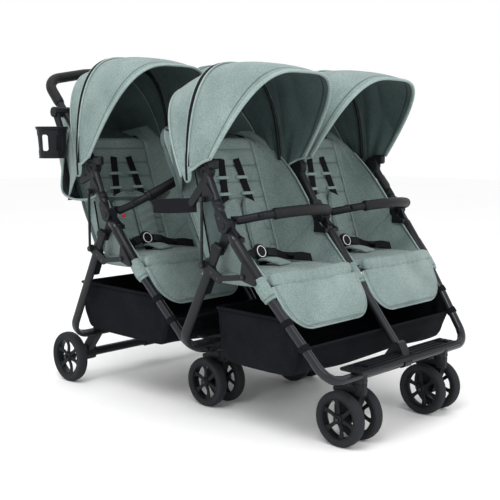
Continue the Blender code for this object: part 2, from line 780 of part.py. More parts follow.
def centre_post(row, dy):
    """Middle post between two seats: a fork on the lower frame's middle knuckle."""
    mat = black_tube()
    y, z = up_tube(KNUCKLE_REACH - 0.008)
    top = Vector((0.0, HUB_Y + dy, HUB_Z))
    post = finish(row + "_upper_centre_post", tube([Vector((0.0, y + dy, z)), top], 0.0112, 8), mat)
    parts = []
    for side in (-1.0, 1.0):
        x_low = side * (KNUCKLE_W / 2 + GAP)
        end_y, end_z = up_tube(KNUCKLE_REACH)
        parts.append(belt([(ELBOW_Y + dy, ELBOW_Z, KNUCKLE_R * 0.9), (end_y + dy, end_z, 0.011)],
                          x_low, side * (KNUCKLE_W * 1.5 + GAP)))
    y1, z1 = up_tube(KNUCKLE_REACH)
    parts.append(belt([(y1 + dy, z1, 0.0105), (y1 + dy + 0.006, z1 + 0.010, 0.0105)],
                      -KNUCKLE_W * 1.5, KNUCKLE_W * 1.5))
    parts.append(hub(1.0, dy, 0.0, 0.0225))
    fuse(post, *[helper(part, mat) for part in parts])
    pin = elbow_bore(dy, -0.03, 0.03)
    knob = disc(ELBOW_Y + dy, ELBOW_Z, KNUCKLE_R + 0.0021, -KNUCKLE_W / 2 - GAP, KNUCKLE_W / 2 + GAP, 14)
    return carve(post, helper(pin, mat), helper(knob, mat))


def handle_line():
    hub_y = HUB_Y + UNIT_PITCH
    corners = [(-HANDLE_ROOT_HALF, hub_y, HUB_Z), (-HANDLE_HALF, HANDLE_BEND_Y, HANDLE_BEND_Z)]
    arch = []
    count = 5
    for i in range(1, count):
        share = i / count
        x = HANDLE_HALF * (2 * share - 1)
        rise = HANDLE_ARCH * (1 - (2 * share - 1) ** 2)
        arch.append((x, HANDLE_BEND_Y, HANDLE_BEND_Z + rise))
    corners += arch
    corners += [(HANDLE_HALF, HANDLE_BEND_Y, HANDLE_BEND_Z), (HANDLE_ROOT_HALF, hub_y, HUB_Z)]
    return rounded(corners, HANDLE_BEND, math.radians(28))


def handle_frame():
    """Rear unit's upper side tubes and push handle in one bent tube."""
    mat = black_tube()
    dy = UNIT_PITCH
    frame = finish("handle_frame", tube(handle_line(), HANDLE_R, 8), mat)
    parts = []
    for side in (-1.0, 1.0):
        line = [Vector(p) for p in upper_side_line(side, dy)]
        parts.append(tube(line, UPPER_R))
        parts += upper_side_parts(side, dy)
    fuse(frame, *[helper(part, mat) for part in parts])
    bores = [elbow_bore(dy, side * (FRAME_HALF - 0.03), side * (FRAME_HALF + 0.03))
             for side in (-1.0, 1.0)]
    return carve(frame, *[helper(bore, mat) for bore in bores])


def handle_grip():
    """Foam grip slid over the handle's cross part, its bore cut through."""
    mat = grip_leather()
    line = handle_line()
    inner = line[1:-1]
    first = line[0] + (line[1] - line[0]) * ((GRIP_LOW_Z - line[0].z) / (line[1].z - line[0].z))
    last = Vector((-first.x, first.y, first.z))
    grip = finish("handle_grip", tube([first] + inner + [last], GRIP_R), mat)
    bore = helper(tube(line, HANDLE_R + GAP), mat)
    return carve(grip, bore)


def cup_holder():
    """Tapered cup with windows in its wall, and its clip on the handle tube."""
    mat = black_plastic()
    outer = [(CUP_LOW, CUP_LOW_R), (CUP_TOP - 0.010, CUP_TOP_R - 0.001),
             (CUP_TOP - 0.008, CUP_TOP_R + 0.002), (CUP_TOP, CUP_TOP_R + 0.002),
             (CUP_TOP, CUP_TOP_R - CUP_WALL), (CUP_LOW + CUP_WALL, CUP_LOW_R - CUP_WALL)]
    cup = finish("cup_holder", turned(outer, (CUP_X, CUP_Y, 0.0), "Z", 18), mat)
    clip_y = handle_y(CUP_CLIP_Z)
    inner = CUP_X + CUP_TOP_R
    arm = belt([(clip_y, CUP_CLIP_Z, 0.013), (CUP_Y + 0.010, CUP_TOP - 0.014, 0.011)],
               inner - 0.009, inner)
    clip = belt([(clip_y, CUP_CLIP_Z, 0.0165)], inner - 0.014, -HANDLE_HALF + HANDLE_R + 0.006)
    fuse(cup, helper(arm, mat), helper(clip, mat))
    windows = [helper(tube(handle_line(), HANDLE_R + GAP, 8), mat)]
    for i in range(6):
        turn = 2 * math.pi * (i + 0.5) / 6 + math.pi
        if abs(math.cos(turn) - 1.0) < 0.2:
            continue
        hole = block((CUP_LOW_R - 0.016, -0.012, CUP_LOW + 0.022),
                     (CUP_TOP_R + 0.010, 0.012, CUP_TOP - 0.024), 0.004)
        bmesh.ops.rotate(hole, verts=hole.verts, cent=(0, 0, 0), matrix=Matrix.Rotation(turn, 3, "Z"))
        bmesh.ops.translate(hole, verts=hole.verts, vec=(CUP_X, CUP_Y, 0.0))
        windows.append(helper(hole, mat))
    return carve(cup, *windows)


def handle_y(z):
    share = (z - HUB_Z) / (HANDLE_BEND_Z - HUB_Z)
    return HUB_Y + UNIT_PITCH + (HANDLE_BEND_Y - HUB_Y - UNIT_PITCH) * share


# Wheels

def wheel_mesh(name, radius, width, mat):
    """Tyre, rim barrel, hub and spokes about the X axis."""
    half = width / 2
    rim = radius * 0.735
    tyre = [(-half * 0.72, rim), (-half, radius * 0.84), (-half * 0.50, radius),
            (half * 0.50, radius), (half, radius * 0.84), (half * 0.72, rim)]
    wheel = finish(name, turned(tyre, (0, 0, 0), "X", 17, closed=True), mat)
    core = [(-half * 0.95, radius * 0.19), (half * 0.95, radius * 0.19)]
    parts = [turned(core, (0, 0, 0), "X", 8)]
    for i in range(SPOKES):
        turn = 2 * math.pi * i / SPOKES
        spoke = block((-half * 0.42, -radius * 0.052, radius * 0.10),
                      (half * 0.42, radius * 0.052, rim + radius * 0.04))
        for vert in spoke.verts:
            if vert.co.z > radius * 0.4:
                vert.co.y *= 1.7
        bmesh.ops.rotate(spoke, verts=spoke.verts, cent=(0, 0, 0), matrix=Matrix.Rotation(turn, 3, "X"))
        parts.append(spoke)
    return fuse(wheel, *[helper(part, mat) for part in parts])


def place_copy(pattern, name, location):
    copy = bpy.data.objects.new(name, pattern.data)
    copy.location = location
    bpy.context.scene.collection.objects.link(copy)
    return copy


def wheels():
    mat = tyre_rubber()
    pair = wheel_mesh("castor_pair_pattern", CASTOR_R, CASTOR_W, mat)
    second = wheel_mesh("second_wheel", CASTOR_R, CASTOR_W, mat)
    for wheel, offset in ((pair, -CASTOR_GAP), (second, CASTOR_GAP)):
        wheel.data.transform(Matrix.Translation((offset, 0.0, 0.0)))
    axle = turned([(-CASTOR_GAP, AXLE_R), (CASTOR_GAP, AXLE_R)], (0, 0, 0), "X", 8)
    fuse(pair, second, helper(axle, mat))
    large = wheel_mesh("large_wheel_pattern", REAR_WHEEL_R, REAR_WHEEL_W, mat)
    bore = turned([(-REAR_WHEEL_W, bore_radius(AXLE_R, 8)), (REAR_WHEEL_W, bore_radius(AXLE_R, 8))],
                  (0, 0, 0), "X", 8)
    carve(large, helper(bore, mat))
    for row, dy in UNITS:
        for name, side in SIDES:
            place_copy(pair, "_".join((row, "castor_wheels", name)),
                       (side * CASTOR_HALF, STEM_Y + CASTOR_TRAIL + dy, CASTOR_R))
    for name, side in SIDES:
        place_copy(large, "rear_wheel_" + name,
                   (side * REAR_WHEEL_HALF, REAR_AXLE_Y, REAR_WHEEL_R))
    bpy.data.objects.remove(pair)
    bpy.data.objects.remove(large)


def castor_fork(name, side, row, dy):
    """Swivel collar under the frame's socket, and a swept housing with the axle's bore."""
    mat = black_plastic()
    x, y = side * CASTOR_HALF, STEM_Y + dy
    axle_y = y + CASTOR_TRAIL
    half = CASTOR_GAP - CASTOR_W / 2 - 0.0012
    fork = finish("_".join((row, "castor_fork", name)),
                  belt([(y + 0.002, SOCKET_LOW - 0.021, 0.019), (axle_y, CASTOR_R, 0.021),
                        (axle_y + 0.012, CASTOR_R + 0.050, 0.016)],
                       x - half * 0.62, x + half * 0.62), mat, (x, y, 0.0))
    collar = turned([(SOCKET_LOW - 0.030, 0.0195), (SOCKET_LOW - GAP, 0.0205)], (x, y, 0.0), "Z", 10)
    hood = belt([(y + 0.004, SOCKET_LOW - 0.012, 0.009), (axle_y + 0.030, CASTOR_R + 0.072, 0.008)],
                x - half, x + half)
    flange = turned([(x - half, 0.0125), (x + half, 0.0125)], (0.0, axle_y, CASTOR_R), "X", 8)
    bpy.context.view_layer.update()
    fuse(fork, *[helper(part, mat) for part in (collar, hood, flange)])
    bore = turned([(x - CASTOR_GAP, bore_radius(AXLE_R, 8)), (x + CASTOR_GAP, bore_radius(AXLE_R, 8))],
                  (0.0, axle_y, CASTOR_R), "X", 8)
    return carve(fork, helper(bore, mat))


# Footrests

def footrest(row, dy):
    """Ribbed tread plate over the front cross bar."""
    mat = black_plastic()
    if row == "front":
        y_low, y_high = BAR_Y - 0.036, BAR_Y + 0.040
    else:
        y_low, y_high = BAR_Y + dy + 0.002, BAR_Y + dy + 0.078
    z = BAR_Z + TUBE_R + GAP
    half = CLAMP_X - CLAMP_W / 2 - 0.003
    plate = finish(row + "_footrest", block((-half, y_low, z), (half, y_high, z + 0.009), 0.003), mat)
    ribs = []
    for i in range(4):
        y = y_low + 0.014 + i * (y_high - y_low - 0.028) / 3
        ribs.append(block((-half + 0.010, y - 0.0025, z + 0.007), (half - 0.010, y + 0.0025, z + 0.0115)))
    fuse(plate, *[helper(rib, mat) for rib in ribs])
    cuts = []
    for side in (-1.0, 1.0):
        cuts.append(turned([(z - 0.01, SOCKET_R + 0.0016), (z + 0.03, SOCKET_R + 0.0016)],
                           (side * CASTOR_HALF, STEM_Y + dy, 0.0), "Z", 12))
    cuts.append(block((-0.0172, BAR_Y + dy - 0.022, z - 0.01), (0.0172, BAR_Y + dy + 0.060, z + 0.03)))
    return carve(plate, *[helper(cut, mat) for cut in cuts])


# Seats

def seat_middle(side):
    return side * FRAME_HALF / 2


def seat_end():
    """Rear end of a cushion, just ahead of the backrest's turning lower edge."""
    return CREASE_Y - math.hypot(BACK_T / 2 - BACK_GROOVE, BACK_START) - 2 * GAP


def seat_top(y):
    """Height of a cushion's top near the crease."""
    share = (y - (CREASE_Y - SEAT_DIP)) / (seat_end() - (CREASE_Y - SEAT_DIP))
    return CREASE_Z + 0.006 * (1 - share)


def seat_base(name, side, row, dy):
    """Cushion, front roll, calf panel and the two side wings of one fabric seat."""
    mat = green_fabric()
    x = seat_middle(side)
    lean = tube_lean()
    ahead = (-math.cos(lean), math.sin(lean))
    roll_y, roll_z = SEAT_FRONT_Y, SEAT_FRONT_Z - 0.016
    low_y, low_z = tube_y(LEGREST_LOW_Z), LEGREST_LOW_Z
    front = [(roll_y - 0.012, roll_z - 0.020)]
    front += [(roll_y + 0.017 * math.cos(a), roll_z + 0.017 * math.sin(a))
              for a in (math.radians(t) for t in (200, 165, 130, 95, 60))]
    cushion = front + [(CREASE_Y - SEAT_DIP, CREASE_Z + 0.006), (seat_end(), CREASE_Z),
                       (seat_end(), CREASE_Z - CUSHION_T),
                       (CREASE_Y - 0.120, CREASE_Z - CUSHION_T - 0.004),
                       (roll_y + 0.020, roll_z - 0.026)]
    crowned = []
    for across in (-1.0, -0.86, -0.42, 0.0, 0.42, 0.86, 1.0):
        sink = CUSHION_CROWN * across ** 4
        ring = [(x + SEAT_HALF * across, y + dy, z - (sink if 0 < i < 8 else 0.0))
                for i, (y, z) in enumerate(cushion)]
        crowned.append(ring)
    base = finish("_".join((row, "seat", name)), loft(crowned), mat)
    top_y, top_z = roll_y - 0.004, roll_z - 0.012
    inner_edge = side * (SLEEVE_R + 2 * GAP)
    rows = []
    count = 8
    for i in range(count + 1):
        share = i / count
        y = top_y + (low_y - top_y) * share
        z = top_z + (low_z - top_z) * share
        drop = max(0.0, share - (1 - LEGREST_CORNER / 0.155)) * 0.155
        inset = LEGREST_CORNER - math.sqrt(max(0.0, LEGREST_CORNER ** 2 - drop ** 2))
        tube_r = SLEEVE_R if z > down_tube(SLEEVE_END)[1] - 0.012 else TUBE_R
        outer_edge = side * (frame_x(z) - (tube_r + 2 * GAP) * 1.03)
        low, high = sorted((inner_edge + side * inset, outer_edge - side * inset))
        rows.append((y, z, low, high))
    rings = []
    for y, z, low, high in rows:
        ny, nz = ahead[0] * LEGREST_T / 2, ahead[1] * LEGREST_T / 2
        rings.append([(low, y + dy + ny, z + nz), (high, y + dy + ny, z + nz),
                      (high, y + dy - ny, z - nz), (low, y + dy - ny, z - nz)])
    calf = loft(rings)
    parts = [calf]
    for edge in (-1.0, 1.0):
        wing = [(roll_y + 0.004, roll_z + 0.004), (ELBOW_Y + 0.000, ELBOW_Z - 0.034),
                (ELBOW_Y + 0.050, ELBOW_Z - 0.040), (CREASE_Y - 0.020, CREASE_Z + 0.020),
                (seat_end(), CREASE_Z - CUSHION_T + 0.002), (roll_y + 0.020, roll_z - 0.018)]
        x_out = x + edge * SEAT_HALF
        x_in = x_out - edge * WING_T
        low, high = sorted((x_in, x_out))
        parts.append(prism([(y + dy, z) for y, z in wing], low, high))
    return fuse(base, *[helper(part, mat) for part in parts])


def seat_back(name, side, row, dy):
    """Padded backrest with sewn channels across it; it reclines about the crease."""
    mat = green_fabric()
    x = seat_middle(side)
    up = (math.sin(BACK_LEAN), math.cos(BACK_LEAN))
    ahead = (-math.cos(BACK_LEAN), math.sin(BACK_LEAN))
    rings = []
    count = BACK_CHANNELS * 3
    for i in range(count + 1):
        share = i / count
        along = BACK_START + (BACK_LENGTH - BACK_START) * share
        groove = BACK_GROOVE * abs(math.cos(math.pi * share * BACK_CHANNELS)) ** 4
        top = max(0.0, share - 0.88) / 0.12
        half = BACK_HALF * (1.0 - 0.22 * top * top)
        front = BACK_T / 2 - groove
        y = CREASE_Y + dy + up[0] * along
        z = CREASE_Z + up[1] * along
        ring = []
        for across, depth in ((-1.0, -0.25), (-0.93, 0.75), (-0.55, 1.0), (0.0, 0.86), (0.55, 1.0),
                              (0.93, 0.75), (1.0, -0.25), (0.90, -1.0), (-0.90, -1.0)):
            reach = front * depth if depth > 0 else BACK_T / 2 * depth
            ring.append((x + half * across, y + ahead[0] * reach, z + ahead[1] * reach))
        rings.append(ring)
    return finish("_".join((row, "backrest", name)), loft(rings), mat, (0.0, CREASE_Y + dy, CREASE_Z))


def buckle(name, side, row, dy):
    """Harness buckle: a rounded body, two side lugs, a round button and the crotch strap's end."""
    mat = black_plastic()
    x = seat_middle(side)
    y, z = BUCKLE_Y + dy, BUCKLE_Z
    tilt = Matrix.Rotation(-BACK_LEAN * 0.8, 3, "X")
    body = turned([(-BUCKLE_T / 2, BUCKLE_R - 0.004), (0.0, BUCKLE_R), (BUCKLE_T / 2, BUCKLE_R - 0.003)],
                  (0, 0, 0), "Z", 12)
    lugs = block((-BUCKLE_R - 0.012, -0.006, -0.005), (BUCKLE_R + 0.012, 0.010, 0.005))
    button = turned([(0.0, 0.0145), (BUCKLE_T / 2 + 0.0020, 0.0145), (BUCKLE_T / 2 + 0.0030, 0.0125)],
                    (0, 0, 0), "Z", 12)
    pieces = []
    strap_y = y - 0.014
    strap_z = seat_top(BUCKLE_Y - 0.014) + GAP + STRAP_T / 2
    strap = belt([(y - 0.007, z - BUCKLE_R * 0.75, STRAP_T), (strap_y, strap_z, STRAP_T / 2)],
                 x - STRAP_HALF, x + STRAP_HALF)
    for bm in (body, lugs, button):
        bmesh.ops.rotate(bm, verts=bm.verts, cent=(0, 0, 0),
                         matrix=tilt @ Matrix.Rotation(math.radians(90), 3, "X"))
        bmesh.ops.translate(bm, verts=bm.verts, vec=(x, y, z))
        pieces.append(bm)
    pieces.append(strap)
    obj = finish("_".join((row, "buckle", name)), pieces[0], mat)
    return fuse(obj, *[helper(bm, mat) for bm in pieces[1:]])


# Canopies

def canopy_side():
    """Outer face of a canopy's front shell."""
    return HUB_HALF + UPPER_R + 2 * CANOPY_WALL + 3 * GAP


def canopy_reach(lean):
    """Bow radius from the pivot at a lean, smooth through the three bows."""
    if lean > CANOPY_MID_LEAN:
        share = (lean - CANOPY_MID_LEAN) / (CANOPY_FRONT_LEAN - CANOPY_MID_LEAN)
        return CANOPY_MID_R + (CANOPY_FRONT_R - CANOPY_MID_R) * share ** 1.2
    share = (lean - CANOPY_MID_LEAN) / (CANOPY_REAR_LEAN - CANOPY_MID_LEAN)
    return CANOPY_MID_R + (CANOPY_REAR_R - CANOPY_MID_R) * share


def canopy_hem(lean):
    share = max(0.0, (lean - CANOPY_MID_LEAN) / (CANOPY_FRONT_LEAN - CANOPY_MID_LEAN))
    return CANOPY_HEM + (CANOPY_FRONT_HEM - CANOPY_HEM) * share ** 1.5


def canopy_square(lean):
    share = max(0.0, (lean - CANOPY_MID_LEAN) / (CANOPY_FRONT_LEAN - CANOPY_MID_LEAN))
    return CANOPY_SQUARE + (CANOPY_VISOR_SQUARE - CANOPY_SQUARE) * share


def bow(x, y, z, lean, half, reach, hem, count=12):
    """One bow: a superellipse that starts and ends at the side hems."""
    square = canopy_square(lean)
    start = math.asin((hem / reach) ** (square / 2))
    points = []
    for i in range(count + 1):
        turn = start + (math.pi - 2 * start) * i / count
        c = math.cos(turn)
        across = -half * math.copysign(abs(c) ** (2 / square), c)
        height = reach * math.sin(turn) ** (2 / square)
        points.append((x + across, y - height * math.sin(lean), z + height * math.cos(lean)))
    return points


def canopy_shell(name, x, y, z, leans, half, extra, ear_lean):
    """Closed shell between bows at the given leans, with an ear on its pivot; extra widens it."""
    mat = green_fabric()
    side = math.copysign(1.0, x)
    rings = []
    for lean in leans:
        reach = canopy_reach(lean) + extra
        hem = canopy_hem(lean)
        outer = bow(x, y, z, lean, half, reach, hem)
        inner = bow(x, y, z, lean, half - CANOPY_WALL, reach - CANOPY_WALL, hem)
        rings.append(outer + inner[::-1])
    shell = finish(name, loft(rings), mat, (0.0, y, z))
    bpy.context.view_layer.update()
    far = CANOPY_HEM + 0.006
    ear = belt([(y, z, CANOPY_EAR_R), (y - far * math.sin(ear_lean), z + far * math.cos(ear_lean), 0.0090)],
               x + side * (half - CANOPY_WALL - CANOPY_EAR_IN + GAP), x + side * (half - CANOPY_EAR_IN))
    return fuse(shell, helper(ear, mat))


def canopies():
    outer_x = canopy_side()
    inner_x = 0.0128
    half = (outer_x - inner_x) / 2
    for row, dy in UNITS:
        lift = 0.0 if row == "front" else REAR_CANOPY_LIFT
        for name, side in SIDES:
            x = side * (outer_x + inner_x) / 2
            y, z = CANOPY_PIVOT_Y + dy, CANOPY_PIVOT_Z + lift
            steps = 5
            front = [CANOPY_MID_LEAN + (CANOPY_FRONT_LEAN - CANOPY_MID_LEAN) * i / steps
                     for i in range(steps + 1)]
            last = CANOPY_REAR_LEAN if row == "front" else CANOPY_HANDLE_LEAN
            rear = [last + (CANOPY_MID_LEAN + math.radians(2.0) - last) * i / 3 for i in range(4)]
            canopy_shell("_".join((row, "canopy_front", name)), x, y, z, front, half,
                         CANOPY_WALL + 3 * GAP, CANOPY_MID_LEAN + math.radians(4.0))
            canopy_shell("_".join((row, "canopy_rear", name)), x, y, z, rear,
                         half - CANOPY_WALL - 3 * GAP, 0.0, CANOPY_MID_LEAN - math.radians(4.0))


# Bumper bars

def bumper(name, side, row, dy):
    """Bar across one seat: it swings up on the fitting at its right end."""
    mat = grip_leather()
    x0 = (-FRAME_HALF if side < 0 else 0.0) + BUMPER_PIVOT
    x1 = (0.0 if side < 0 else FRAME_HALF) - BUMPER_END
    start = x0 - BUMPER_TAIL
    y, z = BUMPER_Y + dy, BUMPER_Z
    reach, rise = BUMPER_REACH, BUMPER_RISE
    points = []
    count = 10
    for i in range(count + 1):
        share = i / count
        bulge = max(0.0, share - 0.03) / 0.97
        swell = math.sin(math.pi * bulge) ** 0.45 if 0 < i < count else 0.0
        points.append(Vector((start + (x1 - start) * share, y - reach * swell, z + rise * swell)))
    bar = finish("_".join((row, "bumper", name)), tube(points, BUMPER_R, 8), mat, (x0, y, z))
    grip = tube(points[3:-1], BUMPER_GRIP_R, 8)
    bpy.context.view_layer.update()
    fuse(bar, helper(grip, mat))
    pin_bore = turned([(y, bore_radius(BUMPER_PIN_R, 8)), (y + 2 * BUMPER_R, bore_radius(BUMPER_PIN_R, 8))],
                      (x0, 0.0, z), "Y", 8)
    carve(bar, helper(pin_bore, mat))
    if row == "rear" and side < 0:
        bar.rotation_euler = (0.0, -BUMPER_OPEN, 0.0)
    return bar


# Baskets

def basket(row, dy):
    """Open fabric bin hung between the legs and the lower frame."""
    mat = dark_fabric()
    rim = BASKET_RIM_Z
    overhang = BASKET_FRONT_REAR if row == "front" else BASKET_REAR_REAR
    rear_y = leg_y(rim) + dy + overhang
    front_y = tube_y(rim) + dy + 0.030
    low_z = BASKET_FLOOR_Z
    outline = [(rear_y, rim), (rear_y - 0.045, low_z + 0.014), (rear_y - 0.100, low_z),
               (front_y + 0.110, low_z + 0.006), (front_y + 0.020, low_z + 0.040), (front_y, rim)]
    centre_y = sum(p[0] for p in outline) / len(outline)
    inner = [(y + math.copysign(BASKET_T, centre_y - y), z + BASKET_T if z < rim else z + 0.02)
             for y, z in outline]
    bin_ = finish(row + "_basket", loft(folded(outline, BASKET_HALF)), mat)
    fuse(bin_, *[helper(tab, mat) for tab in basket_tabs(dy, front_y)])
    return carve(bin_, helper(loft(folded(inner, BASKET_HALF - BASKET_T)), mat))


def basket_tabs(dy, front_y):
    """Hangers from the front rim to the lower frame's side tubes."""
    high, low = BASKET_RIM_Z - 0.002, BASKET_RIM_Z - 0.020
    flat = TUBE_R * math.cos(math.pi / 8)
    reach = (flat + GAP) / math.cos(tube_lean())
    outline = [(tube_y(high) + dy + reach, high), (tube_y(low) + dy + reach, low),
               (front_y + 0.0015, low), (front_y + 0.0015, high)]
    tabs = []
    for side in (-1.0, 1.0):
        low_x, high_x = sorted((side * (BASKET_HALF - 0.022), side * (BASKET_HALF + 0.004)))
        tabs.append(prism(outline, low_x, high_x))
    return tabs


def folded(outline, half):
    """Sections of the bin across X; its cloth sags in soft folds below the rim."""
    sections = []
    for i in range(BASKET_FOLDS * 2 + 1):
        share = i / (BASKET_FOLDS * 2)
        fold = BASKET_FOLD * (1.0 if i % 2 else -1.0) * math.sin(math.pi * share)
        sections.append([(half * (2 * share - 1), y + (fold if z < BASKET_RIM_Z else 0.0),
                          z + (fold * 0.5 if z < BASKET_RIM_Z else 0.0)) for y, z in outline])
    return sections


def brake_pedal():
    """Foot bar on the axle tube: it presses both wheel locks."""
    mat = black_plastic()
    y, z = REAR_AXLE_Y, REAR_WHEEL_R
    ring_r = AXLE_TUBE_R + 0.0045
    pedal = finish("brake_pedal", belt([(y, z, ring_r), (y + 0.052, z + 0.012, 0.007)], -0.045, 0.045),
                   mat, (0.0, y, z))
    bpy.context.view_layer.update()
    count = 12
    bore_r = bore_radius(AXLE_TUBE_R, count)
    bore = turned([(-0.06, bore_r), (0.06, bore_r)], (0.0, y, z), "X", count)
    return carve(pedal, helper(bore, mat))


def build():
    for obj in list(bpy.data.objects):
        bpy.data.objects.remove(obj)
    for row, dy in UNITS:
        lower_frame(row, dy)
        brace_and_rod(row, dy)
        centre_post(row, dy)
        footrest(row, dy)
        basket(row, dy)
        for name, side in SIDES:
            castor_fork(name, side, row, dy)
            seat_base(name, side, row, dy)
            seat_back(name, side, row, dy)
            buckle(name, side, row, dy)
            bumper(name, side, row, dy)
    front_legs()
    rear_legs()
    front_upper_posts()
    handle_frame()
    handle_grip()
    cup_holder()
    wheels()
    canopies()
    brake_pedal()
    centre_on_floor()


def centre_on_floor():
    """Carry all pieces on one empty that puts the middle of the footprint over the origin."""
    bpy.context.view_layer.update()
    pieces = [obj for obj in bpy.data.objects if obj.type == "MESH"]
    points = [obj.matrix_world @ vert.co for obj in pieces for vert in obj.data.vertices]
    low = [min(point[axis] for point in points) for axis in range(3)]
    high = [max(point[axis] for point in points) for axis in range(3)]
    holder = bpy.data.objects.new("stroller", None)
    bpy.context.scene.collection.objects.link(holder)
    holder.location = (-(low[0] + high[0]) / 2, -(low[1] + high[1]) / 2, -low[2])
    for obj in pieces:
        obj.parent = holder
    bpy.context.view_layer.update()


build()
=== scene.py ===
import json
import math

import bmesh
import bpy
import numpy as np
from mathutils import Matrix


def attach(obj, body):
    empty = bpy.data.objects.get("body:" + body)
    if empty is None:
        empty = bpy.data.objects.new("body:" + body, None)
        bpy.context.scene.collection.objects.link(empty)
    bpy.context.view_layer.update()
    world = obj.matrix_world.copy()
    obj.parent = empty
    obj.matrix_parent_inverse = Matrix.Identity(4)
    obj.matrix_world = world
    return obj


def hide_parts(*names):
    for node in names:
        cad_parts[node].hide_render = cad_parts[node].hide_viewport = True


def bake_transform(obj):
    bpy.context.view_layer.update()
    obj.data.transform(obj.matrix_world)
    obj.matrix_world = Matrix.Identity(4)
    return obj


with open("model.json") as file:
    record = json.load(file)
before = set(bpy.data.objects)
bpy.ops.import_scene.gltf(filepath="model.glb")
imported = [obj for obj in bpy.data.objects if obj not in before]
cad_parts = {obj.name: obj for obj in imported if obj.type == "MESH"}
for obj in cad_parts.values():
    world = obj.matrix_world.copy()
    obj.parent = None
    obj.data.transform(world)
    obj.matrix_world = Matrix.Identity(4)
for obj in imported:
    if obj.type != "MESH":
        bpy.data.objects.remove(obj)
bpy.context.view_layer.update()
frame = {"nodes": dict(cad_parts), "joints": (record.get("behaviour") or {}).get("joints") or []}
print("frame loaded,", len(frame["nodes"]), "nodes")

# place of the drawing: the fold hinge of the rear row is at (0, 0.245, 0.570) on it
foldHinge = next(j for j in frame["joints"] if j["name"] == "fold")
shift = np.array(foldHinge["pos_m"]) - np.array([0.0, 0.245, 0.570])
rows = {"front": {"back": 0.0, "lift": 0.0}, "rear": {"back": 0.505, "lift": 0.045}}
sides = {"right": -1.0, "left": 1.0}
alongX, alongZ = (1.0, 0.0, 0.0), (0.0, 0.0, 1.0)
mergeWithin = 0.00002


# shader maths: a wrapped socket, so that 1 - mask writes a Math node
class Wire:
    def __init__(self, paint, socket):
        self.paint = paint
        self.socket = socket

    def maths(self, other, kind, flip=False):
        pair = (other, self) if flip else (self, other)
        return self.paint.node("ShaderNodeMath", {"operation": kind}, {0: pair[0], 1: pair[1]}, 0)

    def __add__(self, other):
        return self.maths(other, "ADD")

    def __radd__(self, other):
        return self.maths(other, "ADD", True)

    def __sub__(self, other):
        return self.maths(other, "SUBTRACT")

    def __rsub__(self, other):
        return self.maths(other, "SUBTRACT", True)

    def __mul__(self, other):
        return self.maths(other, "MULTIPLY")

    def __rmul__(self, other):
        return self.maths(other, "MULTIPLY", True)


class Paint:
    def __init__(self, name, **fixed):
        self.material = bpy.data.materials.new(name)
        self.material.use_nodes = True
        self.tree = self.material.node_tree
        self.shader = self.tree.nodes["Principled BSDF"]
        for socket, value in fixed.items():
            self.shader.inputs[socket.replace("_", " ")].default_value = value

    # any node: its type, its settings (set first), the values or wires of its sockets, the output wanted
    def node(self, kind, settings, values, out=0):
        made = self.tree.nodes.new(kind)
        for key, value in settings.items():
            if key == "stops":
                for i, (spot, colour) in enumerate(value):
                    ramp = made.color_ramp.elements
                    stop = ramp[i] if i < 2 else ramp.new(spot)
                    stop.position = spot
                    stop.color = (*colour, 1.0)
            else:
                setattr(made, key, value)
        for key, value in values.items():
            if isinstance(value, Wire):
                self.tree.links.new(value.socket, made.inputs[key])
            else:
                made.inputs[key].default_value = value
        return Wire(self, made.outputs[out])

    # Object coordinates, stretched
    def place(self, stretch=(1.0, 1.0, 1.0)):
        here = self.node("ShaderNodeTexCoord", {}, {}, "Object")
        return self.node("ShaderNodeMapping", {}, {"Vector": here, "Scale": stretch})

    def noise(self, where, scale, detail=2.0, rough=0.5):
        return self.node("ShaderNodeTexNoise", {}, {"Vector": where, "Scale": scale, "Detail": detail,
                                                    "Roughness": rough}, "Fac")

    def wave(self, where, scale, axis="X", distortion=0.0):
        settings = {"wave_type": "BANDS", "bands_direction": axis}
        return self.node("ShaderNodeTexWave", settings, {"Vector": where, "Scale": scale,
                                                         "Distortion": distortion}, "Fac")

    def mark(self, name):
        return self.node("ShaderNodeAttribute", {"attribute_name": name}, {}, "Fac")

    def ramp(self, factor, stops):
        return self.node("ShaderNodeValToRGB", {"stops": stops}, {"Fac": factor}, "Color")

    def mix(self, factor, first, second):
        def rgba(c):
            return c if isinstance(c, Wire) else (*c, 1.0)
        return self.node("ShaderNodeMix", {"data_type": "RGBA"},
                         {0: factor, 6: rgba(first), 7: rgba(second)}, 2)

    def feed(self, socket, wire):
        self.tree.links.new(wire.socket, self.shader.inputs[socket])

    def bump(self, height, strength, distance):
        raised = self.node("ShaderNodeBump", {}, {"Height": height, "Strength": strength,
                                                  "Distance": distance}, "Normal")
        self.feed("Normal", raised)


# melange weave: heather streaks of two tones, a fine plain weave in the bump, seams sunk in the bump and
# darkened with painted shade
def clothPaint(name, dark, mid, light, weave, seamShade, sheen, shine=0.25):
    paint = Paint(name, Roughness=0.92, Sheen_Weight=sheen, Sheen_Roughness=0.45, Specular_IOR_Level=shine)
    across = paint.noise(paint.place((1.0, 1.0, 4.2)), 210.0, 3.0, 0.62)
    along = paint.noise(paint.place((4.2, 4.2, 1.0)), 170.0, 3.0, 0.62)
    worn = paint.noise(paint.place(), 9.0, 2.0)
    tone = across * 0.55 + along * 0.35 + worn * 0.22
    colour = paint.ramp(tone, [(0.42, dark), (0.70, light), (0.55, mid)])
    seam = paint.mark("seam")
    # painted shade: the seam mark darkens the colour towards 0.28 of the dark tone in the sunk seams and
    # channel valleys
    paint.feed("Base Color", paint.mix(seam * seamShade, colour, tuple(c * 0.28 for c in dark)))
    warp = paint.wave(paint.place(), weave, "X", 0.6)
    weft = paint.wave(paint.place(), weave, "Z", 0.6)
    paint.bump(warp * 0.35 + weft * 0.35 + across * 0.9 + worn * 0.6 - seam * 1.6, 0.42, 0.0011)
    return paint.material


